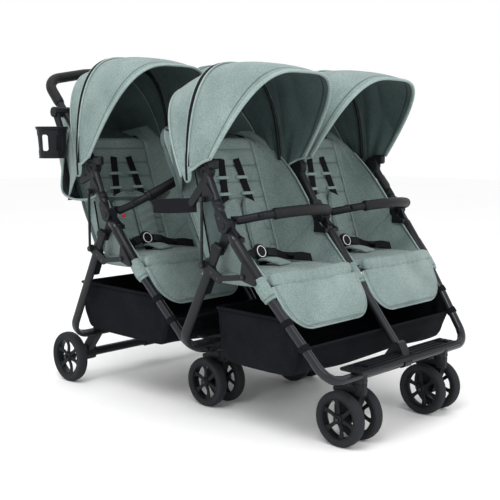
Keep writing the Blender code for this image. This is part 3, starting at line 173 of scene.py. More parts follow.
# coated tube: haze in its tone and roughness, fine grain in the bump
def tubePaint(name, colour, rough, metal, clear):
    paint = Paint(name, Metallic=metal, Coat_Weight=clear, Coat_Roughness=0.22, Specular_IOR_Level=0.20)
    grain = paint.noise(paint.place(), 900.0, 2.0)
    haze = paint.noise(paint.place(), 14.0, 2.0)
    paint.feed("Roughness", haze * 0.12 + (rough - 0.06))
    paint.feed("Base Color", paint.mix(haze, colour, tuple(c * 1.5 for c in colour)))
    paint.bump(grain, 0.10, 0.0002)
    return paint.material


# moulded plastic: dusty patches in its tone and roughness, grain in the bump
def plasticPaint(name, colour, rough, grainSize):
    paint = Paint(name, Specular_IOR_Level=0.17)
    grain = paint.noise(paint.place(), grainSize, 3.0, 0.6)
    dust = paint.noise(paint.place(), 22.0, 2.0)
    paint.feed("Roughness", dust * 0.14 + (rough - 0.07))
    paint.feed("Base Color", paint.mix(dust * 0.6, colour, tuple(c * 1.7 for c in colour)))
    paint.bump(grain, 0.22, 0.0003)
    return paint.material


# webbing: narrow ribs across the strap from its own attribute, pale flecks
def webbingPaint(name, colour):
    paint = Paint(name, Roughness=0.90, Specular_IOR_Level=0.14)
    rib = paint.node("ShaderNodeMath", {"operation": "SINE"}, {0: paint.mark("ribs") * 260.0})
    fleck = paint.noise(paint.place(), 700.0, 2.0)
    paint.feed("Base Color", paint.mix(fleck * 0.55, colour, tuple(c * 2.6 for c in colour)))
    paint.bump(rib * 0.5 + fleck * 0.7, 0.5, 0.0006)
    return paint.material


# leather: cells with sunk edges, worn patches, stitches darkened and sunk
def leatherPaint(name, colour):
    paint = Paint(name, Coat_Weight=0.03, Coat_Roughness=0.4, Specular_IOR_Level=0.22)
    cells = paint.node("ShaderNodeTexVoronoi", {"feature": "DISTANCE_TO_EDGE"},
                       {"Vector": paint.place(), "Scale": 620.0}, "Distance")
    worn = paint.noise(paint.place(), 16.0, 2.0)
    stitch = paint.mark("seam")
    paint.feed("Roughness", worn * 0.2 + 0.44)
    tone = paint.mix(worn * 0.7, colour, tuple(c * 1.6 for c in colour))
    paint.feed("Base Color", paint.mix(stitch * 0.8, tone, (0.006, 0.006, 0.007)))
    paint.bump(cells * 2.2 + worn * 0.4 - stitch * 1.4, 0.5, 0.0006)
    return paint.material


greenCloth = clothPaint("green_melange", (0.096, 0.144, 0.138), (0.176, 0.240, 0.230), (0.300, 0.378, 0.364),
                        640.0, 0.85, 0.22)
# darker copy of the green melange, painted shade: it stands for the shade on the hood linings, the backrest
# shell, the head cloth, the back faces of gussets, wings and pockets, and the covers
paintedShadeCloth = clothPaint("green_cloth_painted_shade", (0.030, 0.053, 0.053), (0.063, 0.096, 0.095), (0.108, 0.152, 0.150),
                         640.0, 0.85, 0.08)
pipingCloth = clothPaint("green_piping", (0.152, 0.212, 0.203), (0.246, 0.325, 0.312), (0.356, 0.445, 0.430),
                         900.0, 0.6, 0.22)
charcoalCloth = clothPaint("charcoal_weave", (0.0022, 0.0028, 0.0040), (0.0052, 0.0062, 0.0085),
                           (0.012, 0.0135, 0.0175), 560.0, 0.7, 0.0, 0.10)
satinTube = tubePaint("satin_black_tube", (0.007, 0.008, 0.010), 0.40, 0.10, 0.06)
shinyTube = tubePaint("glossy_black_tube", (0.012, 0.013, 0.016), 0.22, 0.40, 0.25)
mouldedPlastic = plasticPaint("moulded_black", (0.006, 0.007, 0.009), 0.46, 760.0)
rimPlastic = plasticPaint("rim_black", (0.006, 0.007, 0.008), 0.42, 520.0)
tyreRubber = plasticPaint("tyre_foam", (0.014, 0.0155, 0.018), 0.74, 380.0)
gripLeather = leatherPaint("grip_leather", (0.005, 0.005, 0.006))
blackWebbing = webbingPaint("black_webbing", (0.005, 0.005, 0.007))
zipTape = webbingPaint("zip_tape", (0.004, 0.004, 0.005))
rivetSteel = tubePaint("rivet_black_oxide", (0.045, 0.045, 0.050), 0.30, 0.9, 0.0)
ringWhite = plasticPaint("ring_white", (0.72, 0.72, 0.70), 0.35, 300.0)
releaseRed = plasticPaint("release_red", (0.55, 0.012, 0.012), 0.40, 300.0)
print("materials made")


# faces turned outwards, where wanted after near points are merged
def facesOut(mesh, merge):
    bm = bmesh.new()
    bm.from_mesh(mesh)
    if merge:
        bmesh.ops.remove_doubles(bm, verts=bm.verts, dist=mergeWithin)
    bmesh.ops.recalc_face_normals(bm, faces=bm.faces)
    bm.to_mesh(mesh)
    bm.free()


# object in the scene for a mesh, a light or a camera
def placed(name, data):
    made = bpy.data.objects.new(name, data)
    bpy.context.scene.collection.objects.link(made)
    return made


# meshes from whole arrays
def putMesh(name, points, faces, material, marks, closed):
    mesh = bpy.data.meshes.new(name)
    mesh.from_pydata((points.reshape(-1, 3) + shift).tolist(), [], faces)
    for key, values in (marks or {}).items():
        layer = mesh.attributes.new(key, "FLOAT", "POINT")
        layer.data.foreach_set("value", np.ascontiguousarray(values, dtype=np.float32).ravel())
    if closed:
        facesOut(mesh, True)
    mesh.shade_smooth()
    for one in material if isinstance(material, (list, tuple)) else [material]:
        mesh.materials.append(one)
    return placed(name, mesh)


# quads of a grid of rows x columns, either way wrapped round
def gridQuads(shape, wrapRows=False, wrapColumns=False):
    index = np.arange(shape[0] * shape[1]).reshape(shape)
    if wrapRows:
        index = np.vstack([index, index[:1]])
    if wrapColumns:
        index = np.hstack([index, index[:, :1]])
    quads = np.stack([index[:-1, :-1], index[1:, :-1], index[1:, 1:], index[:-1, 1:]], -1)
    return quads.reshape(-1, 4)


# closed loft: rings round the columns, both ends closed on a flat n-gon; its marks spread over the grid
def loft(name, points, material, marks=None):
    count, around = points.shape[:2]
    faces = gridQuads((count, around), False, True).tolist()
    faces.append(list(range(around)))
    faces.append(list(range((count - 1) * around, count * around)))
    marks = {key: np.broadcast_to(v, (count, around)) for key, v in (marks or {"seam": 0.0}).items()}
    return putMesh(name, points, faces, material, marks, True)


# sheet with a thickness: two grids joined round their border; the back one takes the second material
def thickSheet(name, front, back, material, marks=None):
    shape = front.shape[:2]
    size = shape[0] * shape[1]
    quads = gridQuads(shape)
    index = np.arange(size).reshape(shape)
    border = np.concatenate([index[0, :-1], index[:-1, -1], index[-1, :0:-1], index[:0:-1, 0]])
    nextOne = np.roll(border, -1)
    strip = np.stack([border, border + size, nextOne + size, nextOne], -1)
    faces = np.vstack([quads, quads[:, ::-1] + size, strip]).tolist()
    both = {key: np.tile(np.broadcast_to(v, shape).ravel(), 2) for key, v in (marks or {}).items()}
    made = putMesh(name, np.concatenate([front.reshape(-1, 3), back.reshape(-1, 3)]), faces, material, both,
                   False)
    facesOut(made.data, False)
    if isinstance(material, (list, tuple)):
        slots = np.zeros(len(faces), np.int32)
        slots[len(quads):2 * len(quads)] = 1
        made.data.polygons.foreach_set("material_index", slots)
    return made


# points from their X, Y and Z, each spread over the others
def xyz(x, y, z):
    return np.stack(np.broadcast_arrays(x, y, z), -1)


# unit normals of a grid: cross product of its two differences
def gridNormals(points):
    down = np.gradient(points, axis=0)
    over = np.gradient(points, axis=1)
    normal = np.cross(down, over)
    return normal / np.maximum(np.linalg.norm(normal, axis=2, keepdims=True), 1e-9)


# the same normals, each turned to the side of the given direction
def normalsTowards(points, towards):
    normal = gridNormals(points)
    return normal * np.sign(np.sum(normal * towards, axis=2, keepdims=True))


# bell of height 1: exp(-((x - at) / wide) ^ 2)
def bell(x, at, wide):
    return np.exp(-((x - at) / wide) ** 2)


# half wave from 0 over 1 to 0: sin(pi x)
def hump(x):
    return np.sin(np.pi * x)


# points of a cubic curve through the given ones, evenly spread over its parameter
def through(points, count, wrap=False):
    p = np.array(points, float)
    p = np.vstack([p[-1:], p, p[:2]]) if wrap else np.vstack([2 * p[0] - p[1], p, 2 * p[-1] - p[-2]])
    spans = len(p) - 3
    t = np.linspace(0, spans, count, endpoint=not wrap)
    k = np.clip(t.astype(int), 0, spans - 1)
    f = (t - k)[:, None]
    a, b, c, d = p[k], p[k + 1], p[k + 2], p[k + 3]
    square, cube = 2 * a - 5 * b + 4 * c - d, 3 * b - a - 3 * c + d
    return 0.5 * (2 * b + (c - a) * f + square * f ** 2 + cube * f ** 3)


# path through corners, each turned on an arc of the radius
def bent(corners, radius, step=0.09):
    corners = [np.array(c, float) for c in corners]
    points = [corners[0]]
    for before, here, after in zip(corners, corners[1:], corners[2:]):
        a = (before - here) / np.linalg.norm(before - here)
        b = (after - here) / np.linalg.norm(after - here)
        half = math.acos(np.clip(a @ b, -1, 1)) / 2
        turn = math.pi - 2 * half
        if turn < 0.02:
            points.append(here)
            continue
        middle = here + (a + b) / np.linalg.norm(a + b) * radius / math.sin(half)
        start = here + a * radius / math.tan(half) - middle
        end = here + b * radius / math.tan(half) - middle
        t = np.linspace(0, 1, max(3, round(turn / step)))[:, None]
        points += list(middle + (start * np.sin((1 - t) * turn) + end * np.sin(t * turn)) / math.sin(turn))
    return np.array(points + [corners[-1]])


# section carried along a path: point(u, v) = path(u) + wide(u) * sectionX(v) + thin(u) * sectionY(v);
# wide lies square to the path and to the given direction, thin square to both
def carried(path, section, facing, grow=None):
    path = np.asarray(path, float)
    section = np.asarray(section, float)
    tangent = np.gradient(path, axis=0)
    tangent /= np.linalg.norm(tangent, axis=1, keepdims=True)
    facing = np.broadcast_to(np.asarray(facing, float), path.shape)
    wide = np.cross(tangent, facing)
    wide /= np.linalg.norm(wide, axis=1, keepdims=True)
    thin = np.cross(wide, tangent)
    grow = np.ones((len(path), 2)) if grow is None else np.asarray(grow, float)
    return (path[:, None] + wide[:, None] * (section[:, 0] * grow[:, :1])[..., None]
            + thin[:, None] * (section[:, 1] * grow[:, 1:])[..., None])


# angles evenly spread over a turn
def fullTurn(count):
    return np.linspace(0, 2 * np.pi, count, endpoint=False)


# closed superellipse: x = a cos^p, y = b sin^p
def ovalSection(wide, thin, count=28, power=1.0):
    t = fullTurn(count)
    c, s = np.cos(t), np.sin(t)
    return np.stack([wide * np.sign(c) * abs(c) ** power, thin * np.sign(s) * abs(s) ** power], -1)


# distance run along a path at each of its points
def runLength(path):
    return np.concatenate([[0], np.cumsum(np.linalg.norm(np.diff(path, axis=0), axis=1))])


# path with a point at least every step, its own points kept
def resample(path, step):
    path = np.asarray(path, float)
    along = runLength(path)
    count = max(2, int(along[-1] / step) + 1)
    spots = np.union1d(np.linspace(0, along[-1], count), along)
    return np.stack([np.interp(spots, along, path[:, i]) for i in range(3)], -1)


# round section carried along the resampled path
def roundTube(name, path, radius, material, facing, count=28, step=0.02):
    section = ovalSection(radius, radius, count)
    return loft(name, carried(resample(path, step), section, facing), material)


# flat strap with rounded edges; its ribs attribute runs across it
def strap(name, path, width, thick, material, facing):
    section = ovalSection(width / 2, thick / 2, 20, 0.35)
    points = carried(path, section, facing)
    return loft(name, points, material, {"ribs": section[:, 0], "seam": 0.0})


# section's growth along a path: full, with two rings drawn in at either end
def drawnIn(count, last, second):
    grow = np.ones((count, 2))
    grow[[0, -1]] = last
    grow[[1, -2]] = second
    return grow


# facing of a strap whose width runs in a direction: its run x the direction
def squareTo(line, direction):
    return np.cross(np.gradient(line, axis=0), direction)


# points of one half and, in turn, their mirror images in X
def mirrored(points):
    return list(points) + [(-x, *rest) for x, *rest in points[::-1]]


# two parameters on a grid: one runs down its rows, the other across its columns
def spread(down, across, start=0.0):
    return np.meshgrid(np.linspace(0, 1, down), np.linspace(start, 1, across), indexing="ij")


# sheet ruled between two lines, s being a row: first (1 - s) + second s
def ruled(first, second, s):
    return first[:, None] * (1 - s)[..., None] + second[:, None] * s[..., None]


# ring of sections: its rows and its columns both close
def closedRing(name, points, material):
    return putMesh(name, points, gridQuads(points.shape[:2], True, True).tolist(), material, None, True)


# ring round an axis: centre + (X cos t + second sin t) (radius + sectionX) + axis sectionY
def rolledRing(name, centre, second, axis, radius, section, material, count):
    t = fullTurn(count)[:, None]
    arm = np.cos(t) * np.array(alongX) + np.sin(t) * np.array(second)
    points = centre + arm[:, None] * (radius + section[None, :, :1]) + np.array(axis) * section[None, :, 1:]
    return closedRing(name, points, material)


# profile of (along, radius) pairs turned about the X axis through the centre; side -1 looks the other way
def turnedX(name, profile, centre, material, count=48, wrap=False, side=1.0):
    profile = np.array(profile, float) * (side, 1.0)
    t = fullTurn(count)
    ring = xyz(0.0, np.cos(t), np.sin(t))
    points = profile[:, None, 1:] * ring[None] + np.array(centre, float)
    points[..., 0] += profile[:, None, 0]
    return closedRing(name, points, material) if wrap else loft(name, points, material)


# short cylinder along X
def button(name, half, radius, centre, material, count):
    profile = mirrored([(-half, 0.001), (-half, radius)])
    return turnedX(name, profile, centre, material, count)


# one object of several, each face with its own material
def together(name, parts):
    bm = bmesh.new()
    slots = []
    for part in parts:
        for one in part.data.materials:
            if one not in slots:
                slots.append(one)
        offset = len(bm.faces)
        bm.from_mesh(part.data)
        bm.faces.ensure_lookup_table()
        for face in bm.faces[offset:]:
            face.material_index = slots.index(part.data.materials[face.material_index])
    mesh = bpy.data.meshes.new(name)
    bm.to_mesh(mesh)
    bm.free()
    for one in slots:
        mesh.materials.append(one)
    for part in parts:
        old = part.data
        bpy.data.objects.remove(part)
        bpy.data.meshes.remove(old)
    return placed(name, mesh)


# lines of the frame, as drawn for the front row
elbow = {"y": -0.260, "z": 0.570, "half": 0.390}
tubes = {"barY": -0.559, "barZ": 0.191, "barHalf": 0.325, "bend": 0.062, "waistZ": 0.405, "waistHalf": 0.374,
         "radius": 0.0122, "sleeve": 0.0152, "sleeveStart": 0.050, "sleeveEnd": 0.185,
         "footY": -0.541, "footZ": 0.221}
upper = {"hubY": -0.168, "hubZ": 0.712, "hubHalf": 0.374, "radius": 0.0125, "hubRadius": 0.0245}
legs = {"lean": math.radians(27.5), "half": 0.390, "top": 0.058, "wide": 0.030, "thin": 0.0150, "bend": 0.060,
        "rearBar": 0.165, "frontBar": 0.2125}
shell = {"creaseY": -0.112, "creaseZ": 0.437, "lean": math.radians(28.0), "half": 0.127, "thick": 0.028,
         "length": 0.448, "channels": 5}
liner = {"creaseY": -0.150, "creaseZ": 0.436, "lean": math.radians(17.0), "half": 0.131, "thick": 0.026,
         "length": 0.379, "channels": 8}

tubeLean = math.atan2(elbow["y"] - tubes["barY"], elbow["z"] - tubes["barZ"])
skinOver = 0.0001  # how far a skin stands off its solid
clothThick, pipeRadius = 0.0020, 0.0026


# a seat's side as a sign, its middle in X and its row's shift in Y
def seatPlace(row, sideName):
    return sides[sideName], sides[sideName] * elbow["half"] / 2, rows[row]["back"]


# Y of the lower tubes at a height, on the straight line down from the elbow
def tubeY(z):
    return elbow["y"] - (elbow["z"] - z) * math.tan(tubeLean)


# X of the side tube at a height: two straight runs that meet at the waist
def tubeX(z):
    low = tubes["barHalf"] + (tubes["waistHalf"] - tubes["barHalf"]) * (z - tubes["barZ"]) / (
        tubes["waistZ"] - tubes["barZ"])
    high = tubes["waistHalf"] + (elbow["half"] - tubes["waistHalf"]) * (z - tubes["waistZ"]) / (
        elbow["z"] - tubes["waistZ"])
    return np.where(z > tubes["waistZ"], high, low)


# Y and Z some way from the elbow: down the lower tube, down the leg, up the post
def downTube(distance):
    return elbow["y"] - distance * math.sin(tubeLean), elbow["z"] - distance * math.cos(tubeLean)


def downLeg(distance):
    return elbow["y"] + distance * math.sin(legs["lean"]), elbow["z"] - distance * math.cos(legs["lean"])


def upTube(distance):
    lean = math.atan2(upper["hubY"] - elbow["y"], upper["hubZ"] - elbow["z"])
    return elbow["y"] + distance * math.sin(lean), elbow["z"] + distance * math.cos(lean)


# place on a backrest or its liner: distance up it, distance in front of its middle plane
def onPad(pad, along, ahead):
    y = pad["creaseY"] + along * math.sin(pad["lean"]) - ahead * math.cos(pad["lean"])
    z = pad["creaseZ"] + along * math.cos(pad["lean"]) + ahead * math.sin(pad["lean"])
    return y, z


# width and length of a grid's cloth, from its longest rows and columns, and its area from its quads
def declareSheet(grid):
    across = np.linalg.norm(np.diff(grid, axis=1), axis=2).sum(axis=1).max()
    down = np.linalg.norm(np.diff(grid, axis=0), axis=2).sum(axis=0).max()
    first, second = grid[1:, 1:] - grid[:-1, :-1], grid[1:, :-1] - grid[:-1, 1:]
    area = 0.5 * np.linalg.norm(np.cross(first, second), axis=2).sum()
    area = float(np.clip(area, 0.301 * across * down, across * down))


# the body a piece rides with and the solids it stands for
def riding(obj, body, standsFor=()):
    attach(obj, body)
    if standsFor:
        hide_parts(*standsFor)
    return obj


# several meshes as one riding piece
def joined(name, parts, body, standsFor=()):
    return riding(together(name, parts), body, standsFor)


# camera, floor and light
lens = {"spot": (-1.9651, -1.8768, 0.7922), "yaw": -45.8505, "pitch": -7.1923, "focal": 62.66}
camera = placed("camera", bpy.data.cameras.new("camera"))
camera.data.lens = lens["focal"]
camera.data.sensor_width = 36.0
camera.data.clip_end = 60.0
camera.location = (np.array(lens["spot"]) + shift).tolist()
camera.rotation_euler = (math.radians(90.0 + lens["pitch"]), 0.0, math.radians(lens["yaw"]))
bpy.context.scene.camera = camera

studio = {"floor": (0.955, 0.955, 0.955), "world": 1.0, "key": 60.0, "fill": 24.0, "top": 16.0}
bpy.context.scene.view_settings.view_transform = "Standard"
floorPaint = Paint("studio_floor", Roughness=0.85)
floorPaint.feed("Base Color", floorPaint.mix(floorPaint.noise(floorPaint.place(), 1.2), studio["floor"],
                                             tuple(c * 1.02 for c in studio["floor"])))
reach = 14.0
floorPoints = np.array([[-reach, -reach, 0.0], [reach, -reach, 0.0], [reach, reach, 0.0],
                        [-reach, reach, 0.0]])
floor = putMesh("studio_floor", floorPoints - shift, [[0, 1, 2, 3]], floorPaint.material, None, False)
world = bpy.context.scene.world or bpy.data.worlds.new("studio")
bpy.context.scene.world = world
world.use_nodes = True
sky = world.node_tree.nodes["Background"]
sky.inputs["Color"].default_value = (1.0, 1.0, 1.0, 1.0)
sky.inputs["Strength"].default_value = studio["world"]


# square light that faces its target
def softbox(name, spot, target, size, power):
    light = placed(name, bpy.data.lights.new(name, "AREA"))
    light.data.energy = power
    light.data.size = size
    light.location = spot
    aim = np.array(target, float) - np.array(spot, float)
    yaw = math.atan2(aim[0], -aim[1])
    pitch = math.atan2(math.hypot(aim[0], aim[1]), -aim[2])
    light.rotation_euler = (pitch, 0.0, yaw + math.pi)


softbox("key_softbox", (-1.9, -1.0, 3.3), (0.0, 0.0, 0.5), 1.8, studio["key"])
softbox("fill_softbox", (-0.6, -3.2, 2.2), (0.0, 0.0, 0.5), 2.0, studio["fill"])
softbox("top_softbox", (0.6, 1.6, 3.4), (0.0, 0.0, 0.6), 2.8, studio["top"])
print("studio ready")


# smooth skins over the frame's tubes
def lowerTubes(row, body):
    dy = rows[row]["back"]
    parts = []
    startY, startZ = downTube(0.026)
    right = [(-elbow["half"], startY, startZ), (-tubes["waistHalf"], tubeY(tubes["waistZ"]), tubes["waistZ"]),
             (-tubes["barHalf"], tubes["barY"], tubes["barZ"])]
    corners = mirrored(right)
    plane = (0.0, math.cos(tubeLean), -math.sin(tubeLean))
    hoop = bent(corners, tubes["bend"], 0.07) + (0.0, dy, 0.0)
    parts.append(roundTube("hoop", hoop, tubes["radius"] + skinOver, shinyTube, plane))
    centre = np.array([(0.0, startY + dy, startZ), (0.0, tubes["footY"] + dy, tubes["footZ"])])
    parts.append(roundTube("centre", centre, tubes["radius"] + skinOver, shinyTube, alongX))
    topY, topZ = downTube(tubes["sleeveStart"])
    endY, endZ = downTube(tubes["sleeveEnd"])
    for x0, x1 in ((-float(tubeX(topZ)), -float(tubeX(endZ))), (0.0, 0.0),
                   (float(tubeX(topZ)), float(tubeX(endZ)))):
        ends = np.array([(x0, topY + dy, topZ), (x1, endY + dy, endZ)])
        skin = ends[:1] + (ends[1:] - ends[:1]) * np.array([[0.0], [0.02], [0.5], [0.97], [1.0]])
        grow = np.array([[0.93], [1.0], [1.0], [1.0], [0.90]]) * (1.0, 1.0)
        radius = tubes["sleeve"] + 0.0002
        parts.append(loft("sleeve", carried(skin, ovalSection(radius, radius, 30), alongX, grow), satinTube))
    return joined(row + "_lower_tubes", parts, body)


# leg hoop: flat oval carried along a line with two bends
def legTubes(name, barZ, dy, body):
    topY, topZ = downLeg(legs["top"])
    lowY = elbow["y"] + (elbow["z"] - barZ) * math.tan(legs["lean"])
    half = legs["half"]
    corners = mirrored([(-half, topY + dy, topZ), (-half, lowY + dy, barZ)])
    path = resample(bent(corners, legs["bend"], 0.06), 0.02)
    across = (0.0, math.cos(legs["lean"]), math.sin(legs["lean"]))
    section = ovalSection(legs["thin"] / 2 + skinOver, legs["wide"] / 2 + skinOver, 32, 0.72)
    points = carried(path, section, across)
    return riding(loft(name, points, satinTube), body)


# posts: straight tubes from the elbows up to the hubs, the side ones with a collar
def upperTubes(row, body):
    dy = rows[row]["back"]
    parts = []
    startY, startZ = upTube(0.024)
    for side in (-1.0, 1.0):
        ends = np.array([(side * elbow["half"], startY + dy, startZ),
                         (side * upper["hubHalf"], upper["hubY"] + dy, upper["hubZ"])])
        parts.append(roundTube("post", ends, upper["radius"] + skinOver, satinTube, alongX))
        collarY, collarZ = upTube(0.050)
        collarEnd = upTube(0.074)
        collar = np.array([(side * 0.3855, collarY + dy, collarZ),
                           (side * 0.3832, collarEnd[0] + dy, collarEnd[1])])
        parts.append(roundTube("collar", collar, upper["radius"] + 0.0014, mouldedPlastic, alongX))
    ends = np.array([(0.0, startY + dy + 0.004, startZ + 0.008), (0.0, upper["hubY"] + dy, upper["hubZ"])])
    parts.append(roundTube("middle", ends, 0.0113, satinTube, alongX))
    return joined(row + "_upper_tubes", parts, body)


# hub caps: stepped profiles turned about X on the upper posts, with a sunk ring and a raised middle
def hubCaps(row, body):
    dy = rows[row]["back"]
    parts = []
    r = upper["hubRadius"]
    for side in (-1.0, 1.0):
        profile = [(-0.0125, r - 0.003), (-0.0105, r + 0.0003), (0.0100, r + 0.0003), (0.0125, r - 0.0015),
                   (0.0128, r - 0.0060), (0.0105, r - 0.0070), (0.0105, r - 0.0100), (0.0128, r - 0.0112),
                   (0.0132, r - 0.0160), (0.0122, 0.0010)]
        hub = (side * (upper["hubHalf"] - 0.001), upper["hubY"] + dy, upper["hubZ"])
        parts.append(turnedX("cap", profile, hub, mouldedPlastic, side=side))
    profile = mirrored([(-0.0118, r - 0.003), (-0.0105, r + 0.0002)])
    parts.append(turnedX("middle", profile, (0.0, upper["hubY"] + dy, upper["hubZ"]), mouldedPlastic))
    return joined(row + "_hub_caps", parts, body)


handle = {"hubY": 0.337, "bendY": 0.590, "bendZ": 0.985, "rootHalf": 0.364, "half": 0.370, "arch": 0.042,
          "radius": 0.0120, "grip": 0.0160, "gripLow": 0.903, "bend": 0.055}


# push bar: straight posts, and between them arch * (1 - (2 s - 1) ^ 2) above their ends
def handleLine():
    share = np.arange(1, 5) / 5
    arch = xyz(handle["half"] * (2 * share - 1), handle["bendY"],
               handle["bendZ"] + handle["arch"] * (1 - (2 * share - 1) ** 2))
    corners = mirrored([(-handle["rootHalf"], handle["hubY"], upper["hubZ"]),
                        (-handle["half"], handle["bendY"], handle["bendZ"])])
    return bent(corners[:2] + list(arch) + corners[2:], handle["bend"], 0.08)


# tube and stitched leather carried along the push bar's line
def handleSkins():
    line = handleLine()
    lean = math.atan2(handle["bendY"] - handle["hubY"], handle["bendZ"] - upper["hubZ"])
    plane = (0.0, math.cos(lean), -math.sin(lean))
    tube = roundTube("handle_tube_skin", line, handle["radius"] + skinOver, satinTube, plane)
    riding(tube, "rear_upper")
    fine = resample(line, 0.008)
    inGrip = fine[fine[:, 2] > handle["gripLow"]]
    section = ovalSection(handle["grip"] + 0.0003, handle["grip"] + 0.0003, 40)
    points = carried(inGrip, section, plane, drawnIn(len(inGrip), 0.86, 0.97))
    angle = np.arctan2(section[:, 1], section[:, 0])
    stitched = bell(np.abs(np.abs(angle) - math.radians(18)), 0, 0.06)[None] * (
        0.5 + 0.5 * np.sign(np.sin(runLength(inGrip) * 900)))[:, None]
    grip = loft("handle_leather", points, gripLeather, {"seam": stitched})
    riding(grip, "rear_upper", ["handle_grip"])


bumpers = {"pivot": 0.034, "end": 0.030, "tail": 0.0065, "y": -0.274, "z": 0.583, "radius": 0.0110,
           "grip": 0.0145, "rise": 0.024, "reach": 0.092, "open": 23.0}


# bar's line: it leaves its pivot, bows forward by reach and up by rise, (sin pi s) ^ 0.45
def bumperSkin(row, sideName):
    side = sides[sideName]
    dy = rows[row]["back"]
    x0 = (-elbow["half"] if side < 0 else 0.0) + bumpers["pivot"]
    x1 = (0.0 if side < 0 else elbow["half"]) - bumpers["end"]
    start = x0 - bumpers["tail"]
    share = np.linspace(0, 1, 11)
    swell = np.sin(np.pi * np.clip(share - 0.03, 0, 1) / 0.97) ** 0.45
    swell[[0, -1]] = 0.0
    line = xyz(start + (x1 - start) * share, bumpers["y"] + dy - bumpers["reach"] * swell,
               bumpers["z"] + bumpers["rise"] * swell)
    smooth = through(line, 90)
    facing = (0.0, 0.35, 1.0)
    pad = smooth[18:84]
    grow = drawnIn(len(pad), 0.84, 0.96)
    grip = carried(pad, ovalSection(bumpers["grip"] + 0.0006, bumpers["grip"] + 0.0004, 36), facing, grow)
    angle = np.arctan2(*ovalSection(1, 1, 36).T[::-1])
    seamLine = bell(np.abs(angle), 1.5, 0.09)
    ring = bell(np.arange(len(pad)), 40, 0.7)[:, None]
    barSection = ovalSection(bumpers["radius"] + 0.0002, bumpers["radius"] + 0.0002, 30)
    parts = [loft("pad", grip, gripLeather, {"seam": np.maximum(seamLine, ring)}),
             loft("bar", carried(smooth, barSection, facing), mouldedPlastic)]
    for spot in (20, 82):  # collars where the pad ends
        collar = carried(smooth[spot - 2:spot + 2], ovalSection(0.0158, 0.0156, 32), facing)
        parts.append(loft("collar", collar, mouldedPlastic))
    parts.append(button("button", 0.010, 0.0060, smooth[9] + (0.0, -0.010, 0.004), mouldedPlastic, 24))
    obj = together(f"{row}_bumper_pad_{sideName}", parts)
    if row == "rear" and side < 0:
        turn = math.radians(-bumpers["open"])
        spot = np.array([x0, bumpers["y"] + dy, bumpers["z"]]) + shift
        flat = np.zeros(len(obj.data.vertices) * 3)
        obj.data.vertices.foreach_get("co", flat)
        p = flat.reshape(-1, 3) - spot
        c, s = math.cos(turn), math.sin(turn)
        p = xyz(p[:, 0] * c + p[:, 2] * s, p[:, 1], -p[:, 0] * s + p[:, 2] * c) + spot
        obj.data.vertices.foreach_set("co", p.ravel())
        obj.data.update()
    riding(obj, f"{row}_bumper_{sideName}", [f"{row}_bumper_{sideName}"])


for row in rows:
    lowerTubes(row, row + "_chassis")
    upperTubes(row, row + "_upper")
    hubCaps(row, row + "_upper")
    for sideName in sides:
        bumperSkin(row, sideName)
legTubes("front_leg_tubes", legs["frontBar"], 0.0, "rear_chassis")
legTubes("rear_leg_tubes", legs["rearBar"], rows["rear"]["back"], "rear_leg_frame")
handleSkins()
print("tubes skinned")


# rivets: flat domes turned about X on the outer faces of brackets, braces, rods and posts
rivets = {"radius": 0.0042, "rise": 0.0012}


def rivetSet(name, spots, body):
    parts = []
    r, h = rivets["radius"], rivets["rise"]
    for x, y, z in spots:
        profile = [(0.0, r), (h * 0.6, r * 0.92), (h, r * 0.5), (h * 1.05, r * 0.05)]
        parts.append(turnedX("rivet", profile, (x, y, z), rivetSteel, 20, side=math.copysign(1.0, x)))
    joined(name, parts, body)


rivetSpots = {"bracket": [(0.4015, -0.1760, 0.4700), (0.4015, -0.2150, 0.4455)],
              "brace": [(0.4053, -0.3330, 0.4440), (0.4053, -0.2425, 0.4311)],
              "rod": [(0.4112, -0.1860, 0.6370), (0.4112, -0.1847, 0.4618)],
              "post": [(0.4030, elbow["y"] + 0.012, elbow["z"] + 0.020)]}
for row, place in rows.items():
    for sideName, side in sides.items():
        riders = {"bracket": "rear_chassis" if row == "front" else "rear_leg_frame",
                  "brace": f"{row}_brace_{sideName}", "rod": f"{row}_release_rod_{sideName}",
                  "post": row + "_upper"}
        for label, spots in rivetSpots.items():
            rivetSet(f"{row}_{label}_rivets_{sideName}",
                     [(side * x, y + place["back"], z) for x, y, z in spots], riders[label])
print("rivets set")


# wheels: turned tyre with side steps, rim barrel, six flared spokes, hub
wheelKinds = {"castor": {"radius": 0.074, "width": 0.030, "x": 0.193, "y": -0.520, "apart": 0.0386,
                         "cap": 0.0130},
              "large": {"radius": 0.082, "width": 0.032, "x": 0.3577, "y": 0.5144, "cap": 0.0142}}


